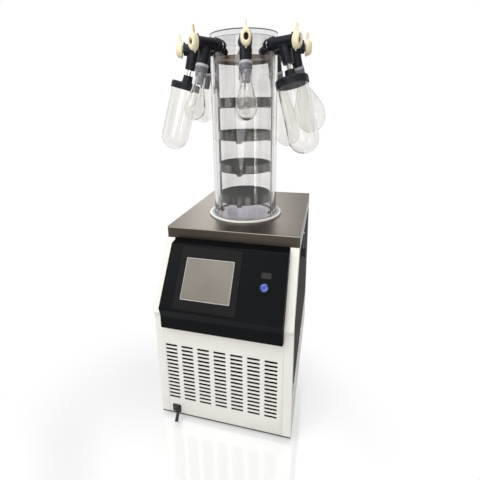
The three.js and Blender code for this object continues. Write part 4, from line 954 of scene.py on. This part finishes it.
def valveSkin():
    # nub, plug, collar, body with its ear, and the spout, in a valve's own frame
    nubRadius, nubLength = valve["nub"]
    start, collarLength, collarRadius = valve["collar"]
    bodyRadius = valve["body"][1]
    length, top, end = valve["spout"]
    plug, ear, bodyStart = valve["plug"], valve["ear"], start + collarLength
    inner = (vessel["radius"] - vessel["wall"]) * valve["inner"]
    nubEnd = math.sqrt(inner ** 2 - nubRadius ** 2) - 1
    nubStart, stemStart = nubEnd - nubLength, bodyEnd - valve["stemLength"]
    bm = bmesh.new()
    along(bm, [(nubStart, 0), (nubStart, nubRadius * 0.6), (nubEnd - 1.5, nubRadius), (nubEnd, nubRadius),
               (nubEnd, plug), (start, plug), (start, collarRadius - 1.5), (bodyStart, collarRadius),
               (bodyStart, bodyRadius), (bodyEnd - 4, bodyRadius), (bodyEnd, bodyRadius), (bodyEnd, 0)])
    slab(bm, (bodyEnd - ear, -ear / 2, 0), (bodyEnd, ear / 2, bodyRadius + ear - 2), 0.8)
    lathe(bm, [(0, 0), (top, 0), (top - 0.3, -24), (top + 0.5, -26), (end + 0.6, -length + 4),
               (end, -length), (0, -length)], spoutFrame(), 64)
    cutter = bmesh.new()
    rod(cutter, (stemStart - 0.3, 0, 0), (bodyEnd + 2, 0, 0), valve["stemHole"])
    rod(cutter, (nubStart - 2, 0, 0), (stemStart - 1.5, 0, 0), valve["bore"])
    return fused(bm, valve["voxel"], valve["rounds"], cutter)


adapter = {"start": 62, "end": 84, "radius": 19, "endRadius": 18, "neckStart": 84.3, "plug": 12.3,
           "plugEnd": 118, "bore": 4.5, "capBore": 15.9}
lid = {"tube": 6.5, "tubeStart": 61, "socketStart": 82, "socket": (15, 17), "start": 104, "end": 128,
       "radius": 49, "grip": 13, "mouth": 45.9, "bore": 4.5}


def adapterParts():
    # the grey push-in adapter: stepped cap, barrel and the ground plug inside the flask's neck
    start, end, r, out, plug, tip, bore, cap = [adapter[key] for key in (
        "start", "end", "radius", "endRadius", "plug", "plugEnd", "bore", "capBore")]
    barrel = [(bore, start + 2), (r - 1.2, start + 2), (r - 1.2, start + 9), (out, start + 9.6),
              (out - 0.6, end), (plug, end), (plug - 1, tip), (bore, tip), (bore, start + 2)]
    ring = [(cap, start), (r, start), (r, start + 4.5), (r - 0.8, start + 5), (r - 0.8, start + 7.4),
            (r - 1.1, start + 8), (r - 1.1, start + 1.9), (cap, start + 1.9), (cap, start)]
    return [("adapterBarrel", "adapter", barrel, 0.6), ("adapterCap", "cap", ring, 0.3)]


def lidParts():
    # the short steel tube and the rubber lid that grips a wide flask
    low, high = lid["socket"]
    r, s, e, bore, tube, first, socket, mouth = [lid[key] for key in (
        "radius", "start", "end", "bore", "tube", "tubeStart", "socketStart", "mouth")]
    pipe, grip, hole = socket + 4, e - lid["grip"], tube + 0.1
    steel = [(bore, first), (tube, first), (tube, pipe), (bore, pipe), (bore, first)]
    cup = [(hole, socket), (low, socket), (high - 0.5, s - 3), (high + 3.5, s + 0.4), (r - 3, s + 1.6),
           (r - 0.8, s + 4), (r, s + 8), (r, s + 14), (r - 0.9, s + 14.6), (r - 0.9, s + 16),
           (r, s + 16.6), (r, e), (mouth, e), (mouth, grip), (bore, grip), (bore, socket + 5),
           (hole, socket + 5), (hole, socket)]
    return [("lidTube", "polished", steel, 0.4), ("lidCup", "rubber", cup, 0.8)]


flasks = {
    "neck": 15.2, "neckLength": 34, "shoulder": 16, "glass": 2.2, "bead": (1.1, 3.2),
    "wideRadius": 45, "wideLength": 213.8, "wideStart": 115.3,
    "pears": {"small": (30.7, 139.8, 1.15), "medium": (38.7, 159.8, 1), "large": (51.5, 195.8, 1.25),
              "long": (49.7, 261.8, 1.3)},
    "hung": ["small", "wide", "large", "long", "medium", "medium", "wide", "small"],
}


def bowl(radius, centre, first, stretch=1.0):
    # an arc of 24 steps from an angle down to the lowest point
    points = []
    for i in range(25):
        angle = first + (-math.pi / 2 - first) * i / 24
        height = (centre + radius * math.sin(angle)) * stretch
        points.append((radius * math.cos(angle) if i < 24 else 0, height))
    return points


def pearProfile(radius, length, stretch):
    # the outer skin of a pear flask hung from height 0, and the same line set in by the glass
    lines = []
    for inset in (0, flasks["glass"]):
        neck, ball = flasks["neck"] - inset, radius - inset
        centre, low = radius - length / stretch, -flasks["neckLength"] / stretch
        reach = math.hypot(neck, centre - low)
        tangent = math.atan2(low - centre, neck) - math.acos(ball / reach)
        line = [(neck, 0), (neck, low * stretch)] + bowl(ball, centre, tangent, stretch)
        lines.append([line[0]] + rounded(line[:3], flasks["shoulder"], 8)[1:] + line[3:])
    return glassSkin(lines)


def wideProfile():
    radius = flasks["wideRadius"]
    balls = (radius, radius - flasks["glass"])
    return glassSkin([[(ball, 0)] + bowl(ball, radius - flasks["wideLength"], 0) for ball in balls])


def glassSkin(lines):
    # joins an outer and an inner line over a fire-polished, slightly swollen rim
    outer, inner = lines
    swell, depth = flasks["bead"]
    edge = outer[0][0]
    if edge == flasks["neck"]:
        rim = [(edge, -depth - 1.6), (edge + swell, -depth), (edge + swell, -0.8)]
    else:
        rim = [(edge, -4), (edge, -0.9)]
    lip = [(rim[-1][0] - 0.8, 0), (inner[0][0] + 0.6, 0), (inner[0][0], -0.7)]
    return inner[::-1][:-1] + lip[::-1] + rim[::-1] + outer[1:]


knob = {"gap": 0.5, "hub": (3, 9), "size": (15.5, 23.5, 20), "dome": 11, "face": 0.62,
        "hollow": (6.5, 9.5, 3), "fin": (47, 11, 8, 3), "thick": 3.2, "tail": (28.5, 9),
        "stem": (25, 6), "voxel": 0.75, "rounds": 4, "soft": 2.4, "edge": 0.7}


def ovalTurned(bm, points, wide, tall):
    # a lathe shape lying along X with its radii stretched to an oval, from points of distance and share
    along(bm, points, Matrix.Diagonal((1, wide, tall, 1)))


def knobSkin():
    # the domed oval handle with its hollow, the fin above, the tail below, and the stem, and also the
    # dark lining at the bottom of the hollow, which is painted shade
    back = bodyEnd + knob["gap"]
    face = back + knob["hub"][0]
    wide, tall, thick = knob["size"]
    front, dome, share, half = face + thick, knob["dome"], knob["face"], knob["thick"] / 2
    stemLength, stemRadius = knob["stem"]
    bm = bmesh.new()
    line = [(face, 0), (face, 0.95), (face + 0.8, 1), (front - dome, 1)]
    for i in range(1, 8):
        turn = math.pi / 2 * i / 8
        line.append((front - dome * (1 - math.sin(turn)), share + (1 - share) * math.cos(turn)))
    ovalTurned(bm, line + [(front, share), (front, 0)], wide, tall)
    top, base, tip, lean = knob["fin"]
    root, heel = tall - 5, face + lean
    fin = [(face + 0.5, root), (face + base, root), (face + base - 0.6, tall + 5), (heel + tip, top - 5),
           (heel + tip - 1.6, top - 1), (heel + tip / 2, top), (heel + 0.8, top - 1.6), (heel, top - 6),
           (face + 1, tall + 4)]
    drop, width = knob["tail"]
    middle = face + width / 2
    tail = [(face + 0.5, -root), (face + width / 3, -drop + 0.6), (middle - 0.5, -drop),
            (middle + 0.6, -drop + 0.4), (face + width, -root)]
    for line in (fin, tail):
        outline = rounded(line + line[:2], knob["soft"], 3)[1:-1]
        prism(bm, outline, -half, half, matrix=facing, ease=knob["edge"])
    stem, hub = (bodyEnd - stemLength, back + 2, stemRadius), (back, face + 1, knob["hub"][1])
    for start, end, radius in (stem, hub):
        along(bm, [(start, 0), (start, radius), (end, radius), (end, 0)])
    holeWide, holeTall, floor = knob["hollow"]
    at = face + floor
    cutter, hollowShade = bmesh.new(), bmesh.new()
    ovalTurned(cutter, [(at, 0), (at, 0.92), (front - 3, 1), (front - 1, 1.06), (front + 1, 1.25),
                        (front + 1, 0)], holeWide, holeTall)
    # a dark lining over the floor and lower walls of the hollow, painted shade
    ovalTurned(hollowShade, [(at + 0.05, 0), (at + 0.05, 0.88), (front - 6, 0.97), (front - 6, 0.82),
                       (at + 1.4, 0.72), (at + 1.4, 0)], holeWide, holeTall)
    return fused(bm, knob["voxel"], knob["rounds"], cutter), asMesh("hollowShade", hollowShade)


def valves():
    body, (handle, hollowShade) = valveSkin(), knobSkin()
    for index in range(valveCount):
        place, number, kind = station(index), index + 1, flasks["hung"][index]
        turning = f"knob_{number}"
        finished(f"valveBody{number}", placed(body, place), "rubber", replaces=(f"valve_{number}",),
                 weigh=False)
        finished(f"knob{number}", placed(handle, place), "ivory", turning, (f"valve_knob_{number}",), False)
        finished(f"knobHollowShade{number}", placed(hollowShade, place), "hollow", turning)
        spout, wide = place @ spoutFrame(), kind == "wide"
        for name, finish, profile, ease in (lidParts() if wide else adapterParts()):
            turned(f"{name}{number}", finish, [(r, -z) for r, z in profile], spout, 64, ease, 2)
        start = flasks["wideStart"] if wide else adapter["neckStart"]
        profile = wideProfile() if wide else pearProfile(*flasks["pears"][kind])
        turned(f"flask{number}", "glass", profile, spout @ Matrix.Translation(vec(0, 0, -start)), 72,
               replaces=(f"flask_{number}",), weigh=False)


def pipe(name, points, radius, bend, finish, replaces=()):
    # a tube of round section along points with its corners bent
    smooth = rounded(points, bend, 6)
    curve = bpy.data.curves.new(name, "CURVE")
    curve.dimensions = "3D"
    line = curve.splines.new("POLY")
    line.points.add(len(smooth) - 1)
    for spot, point in zip(line.points, smooth):
        spot.co = (*vec(*point), 1)
    curve.bevel_depth = radius * mm
    curve.bevel_resolution = 6
    curve.use_fill_caps = True
    shape = loose(name, curve)
    bm = bmesh.new()
    bm.from_mesh(shapedMesh(shape))
    bpy.data.objects.remove(shape)
    finished(name, bm, finish, replaces=replaces)


def vacuumPort():
    (y, z), side, end = portAxis(), box("right_side_frame")[1].x, box("vacuum_port")[1].x
    gap, thick = port["plate"]
    start, face, collar = side + gap, side + gap + thick, end - port["collar"]
    radius, tube, bore, (lip, sink) = port["radius"], port["tube"], port["bore"], port["lip"]
    bm = bmesh.new()
    along(bm, [(start, bore), (start, radius), (face, radius), (face, tube), (collar - port["taper"], tube),
               (collar + 1, radius), (end, radius), (end, bore + lip), (end - sink, bore + lip),
               (end - sink, bore), (start, bore)], Matrix.Translation(vec(0, y, z)), 72, 0.4)
    finished("vacuumFlange", bm, "fitting")
    path = [(start, y, z), (side - 20, y, z), (131, axisY, z), (75, axisY, z)]
    pipe("vacuumLine", path, tube, 13, "polished", ("vacuum_port",))


drain = {"x": -151, "z": 35, "plate": 28, "shift": -9, "thick": 3, "body": 8, "length": 20, "face": -303.3,
         "spout": (10, 30, 12), "radius": 5, "flare": 1.4, "lever": (18, 8, 3.6), "stem": 3, "gap": 0.1,
         "screw": {"inset": 3.6, "height": 0.9, "radius": 1.6, "ease": 0.4}, "pipe": 4.9, "bend": 25}


def drainValve():
    # a square plate, the valve's body with its short bent spout, and the lever
    d = drain
    face, x, z, half, plate = d["face"], d["x"], d["z"], d["plate"] / 2, d["face"] - d["thick"]
    bm = bmesh.new()
    prism(bm, middled(d["plate"], d["plate"], 2.5), plate, face,
          matrix=Matrix.Translation(vec(x + d["shift"], 0, z)) @ facing, ease=0.6)
    start, stop = plate + 0.5, face - d["length"]
    turn = Matrix.Rotation(-math.pi / 2, 4, "X") @ Matrix.Rotation(math.pi, 4, "Z")
    body = d["body"]
    lathe(bm, [(0, -start), (body, -start), (body, -stop - 1.6), (body - 1.6, -stop), (0, -stop)],
          Matrix.Translation(vec(x, 0, z)) @ turn, 40)
    first, last, low = d["spout"]
    begin, end = vec(x, face - first, z), vec(x, face - last, low)
    long, radius, flare = (end - begin).length / mm, d["radius"], d["radius"] + d["flare"]
    spout = [(0, 0), (radius, 0), (radius, long - 9), (radius + 0.9, long - 7.6), (radius, long - 6),
             (radius, long - 4), (flare, long - 2.6), (flare, long - 0.6), (flare - 0.6, long),
             (radius - 1.2, long), (radius - 1.6, long - 6), (0, long - 6)]
    lathe(bm, spout, Matrix.Translation(begin) @ aimed((end - begin).normalized()), 40)
    finished("drainValve", bm, "fitting", replaces=("drain_valve",))
    screw = d["screw"]
    spread = half - screw["inset"]
    bm = bmesh.new()
    for sideX in (-spread, spread):
        for sideZ in (-spread, spread):
            spot = [x + d["shift"] + sideX, plate, z + sideZ]
            rod(bm, spot, (spot[0], plate - screw["height"], spot[2]), screw["radius"], screw["ease"], 16)
    finished("drainScrews", bm, "fitting")
    leverLow, leverHigh = box("drain_lever")
    reach, wide, thick = d["lever"]
    wide /= 2
    pivot, top = leverHigh.y - wide, leverHigh.z - d["gap"]
    grip = [(-wide, wide), (-wide, 5 - reach), (-wide, -reach), (wide, -reach), (wide, wide)]
    outline = rounded(grip + grip[:2], 3, 5)[1:-1]
    bm = bmesh.new()
    prism(bm, outline, top - thick, top, (), Matrix.Translation(vec(x, pivot, 0)), 0.9, 3)
    rod(bm, (x, pivot, leverLow.z + d["gap"]), (x, pivot, top - 1), d["stem"] - d["gap"], 0.2)
    finished("drainLever", bm, "fitting", "lever", ("drain_lever",))
    path = [(x, -302, z), (x, -224, z), (x * 0.6, -45, 200), (0, 27, 315), (0, 27, 398)]
    pipe("drainLine", path, d["pipe"], d["bend"], "copper")


inlet = {"x": 130, "z": 80, "flange": (57, 35, 4), "window": (37.4, 19.4, 3), "box": (46.8, 26.8, 2),
         "depth": 24, "panel": 5,
         "pins": {"x": (-14, 0, 14), "wide": 2, "tall": 4, "reach": (17, 2), "ease": 0.6}}


def powerInlet():
    back = box("power_inlet")[1].y - inlet["panel"]
    place = Matrix.Translation(vec(inlet["x"], 0, inlet["z"])) @ facing
    window, shell = [middled(*inlet["window"])], middled(*inlet["box"])
    bm = bmesh.new()
    prism(bm, middled(*inlet["flange"]), back + 0.3, back + 4.6, window, place, 0.6)
    prism(bm, shell, back - 16, back + 0.4, window, place)
    prism(bm, shell, back - inlet["depth"], back - 15.9, matrix=place)
    finished("powerInlet", bm, "socket", replaces=("power_inlet",))
    pins, z = inlet["pins"], inlet["z"]
    (near, far), wide, tall = [back - reach for reach in pins["reach"]], pins["wide"], pins["tall"]
    bm = bmesh.new()
    for spot in pins["x"]:
        x = inlet["x"] + spot
        slab(bm, (x - wide, near, z - tall), (x + wide, far, z + tall), pins["ease"])
    finished("inletPins", bm, "polished")


coldTrap()
baseGasket()
chamber()
trayRack()
trays()
print("chamber, rack and trays made")
valves()
print("valves, knobs and flasks made")
vacuumPort()
drainValve()
powerInlet()
print("fittings made")


# the solids that show as they are
nodeFinishes = {
    "base_pan": "dark", "trap_insulation": "foam", "evaporator_coil": "copper", "condenser": "fins",
    "condenser_fan": "enamel", "fan_motor": "enamel", "compressor": "enamel",
}
for name, finish in nodeFinishes.items():
    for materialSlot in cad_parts[name].material_slots:
        materialSlot.material = finishes[finish][1]


studio = {
    "lens": 25.43, "shift": (0.0102, -0.0904), "eye": (272.6, -1122.3, 997.2),
    "yaw": 0.264, "pitch": 0.263, "roll": -0.018, "clip": 0.02,
    # name, place, size, power and whether metal mirrors it
    "lamps": [
        ("keyLamp", (-1.6, -2.0, 2.9), 1.8, 40, True),
        ("fillLamp", (0.0, -3.0, 1.1), 1.8, 34, True),
        ("topLamp", (0.0, -0.9, 3.3), 1.8, 36, True),
        ("backLamp", (-0.6, 2.4, 1.8), 1.4, 10, True),
        ("rearLamp", (1.6, 2.6, 1.2), 1.8, 26, False),
    ],
    "strips": [
        ("thinStrip", (1.49, -1.33, 0.6), (0.06, 0.8), 2.4, (1, 0.95, 0.86)),
        ("broadStrip", (1.6, -1.3, 0.5), (0.4, 1.2), 4, (1, 0.98, 0.95)),
    ],
    "worldLight": 0.2, "mirrored": (0.25, 1.3), "aim": (0, 0, 0.6),
    "floor": {"radius": 9, "middle": (-0.1, -0.42, 0), "fade": (0.3, 0.72), "tone": 0.5, "lift": 0.54,
              "sheen": 0.14},
}


def camera():
    yaw, pitch, roll = studio["yaw"], studio["pitch"], studio["roll"]
    ahead = Vector((-math.sin(yaw) * math.cos(pitch), math.cos(yaw) * math.cos(pitch), -math.sin(pitch)))
    level = Vector((math.cos(yaw), math.sin(yaw), 0))
    right = level * math.cos(roll) + level.cross(ahead) * math.sin(roll)
    data = bpy.data.cameras.new("camera")
    data.lens = studio["lens"]
    data.shift_x, data.shift_y = studio["shift"]
    data.clip_start = studio["clip"]
    eye = loose("camera", data)
    turn = Matrix((right, right.cross(ahead), -ahead)).transposed().to_4x4()
    eye.matrix_world = Matrix.Translation(vec(*studio["eye"])) @ turn
    bpy.context.scene.camera = eye


def lampAt(name, shape, place, way, power):
    data = bpy.data.lights.new(name, "AREA")
    data.shape = shape
    data.energy = power
    lamp = loose(name, data)
    lamp.location = place
    lamp.rotation_euler = way.to_track_quat("-Z", "Y").to_euler()
    lamp.visible_transmission = False
    return lamp


def lamps():
    for name, place, size, power, mirrored in studio["lamps"]:
        lamp = lampAt(name, "DISK", place, Vector(studio["aim"]) - Vector(place), power)
        lamp.data.size = size
        lamp.visible_glossy = mirrored
    # narrow upright lamps that show only as a gleam down the round pieces
    for name, place, size, power, tint in studio["strips"]:
        lamp = lampAt(name, "RECTANGLE", place, Vector((-place[0], -place[1], 0)), power)
        lamp.data.size, lamp.data.size_y = size
        lamp.data.color = tint
        lamp.visible_diffuse = False


def surroundings():
    # white to the camera and through glass, and a room of light and dark bands in what metal mirrors
    world = bpy.data.worlds.new("studio")
    bpy.context.scene.world = world
    f = Finish("studio", world)
    bright, mirrored = f.rays("Camera", "Transmission"), f.rays("Glossy")
    way = f.wire("ShaderNodeTexCoord", {}, {}, "Generated")
    flat = f.wire("ShaderNodeMapping", {}, {"Vector": way, "Scale": (1, 1, 0.2)})
    drift = f.wire("ShaderNodeTexNoise", {}, {"Vector": flat, "Scale": 2.6, "Detail": 1.0})
    low, high = studio["mirrored"]
    room = f.rise(drift, 0.4, 0.6, True, low, high)
    strength = bright + (1 - bright) * (mirrored * room + (1 - mirrored) * studio["worldLight"])
    f.output(f.wire("ShaderNodeBackground", {}, {"Color": (1, 1, 1, 1), "Strength": strength}), "World")


def floor():
    # white paper that fades into the white all round and keeps the shadow under the machine
    size = studio["floor"]
    bm = bmesh.new()
    bmesh.ops.create_circle(bm, cap_ends=True, segments=96, radius=size["radius"])
    ground = loose("floor", asMesh("floor", bm))
    f = Finish("paperFloor")
    away = f.rise(f.distance(f.spot(), size["middle"]), *size["fade"], True)
    matt = f.wire("ShaderNodeBsdfDiffuse", {}, {"Color": (size["tone"], size["tone"], size["tone"], 1)})
    seen = f.rays("Camera", "Transmission", "Glossy")
    lift, glow = [f.wire("ShaderNodeEmission", {}, {"Color": (1, 1, 1, 1), "Strength": power})
                  for power in (seen * size["lift"], 1.0)]
    sheen = f.wire("ShaderNodeBsdfGlossy", {}, {"Color": (1, 1, 1, 1), "Roughness": 0.04})
    paper = f.mix(size["sheen"], f.wire("ShaderNodeAddShader", {}, {0: matt, 1: lift}), sheen)
    ground.data.materials.append(f.output(f.mix(away * seen, paper, glow)))


camera()
lamps()
surroundings()
floor()
bpy.context.scene.view_settings.view_transform = "Standard"
print("studio set")
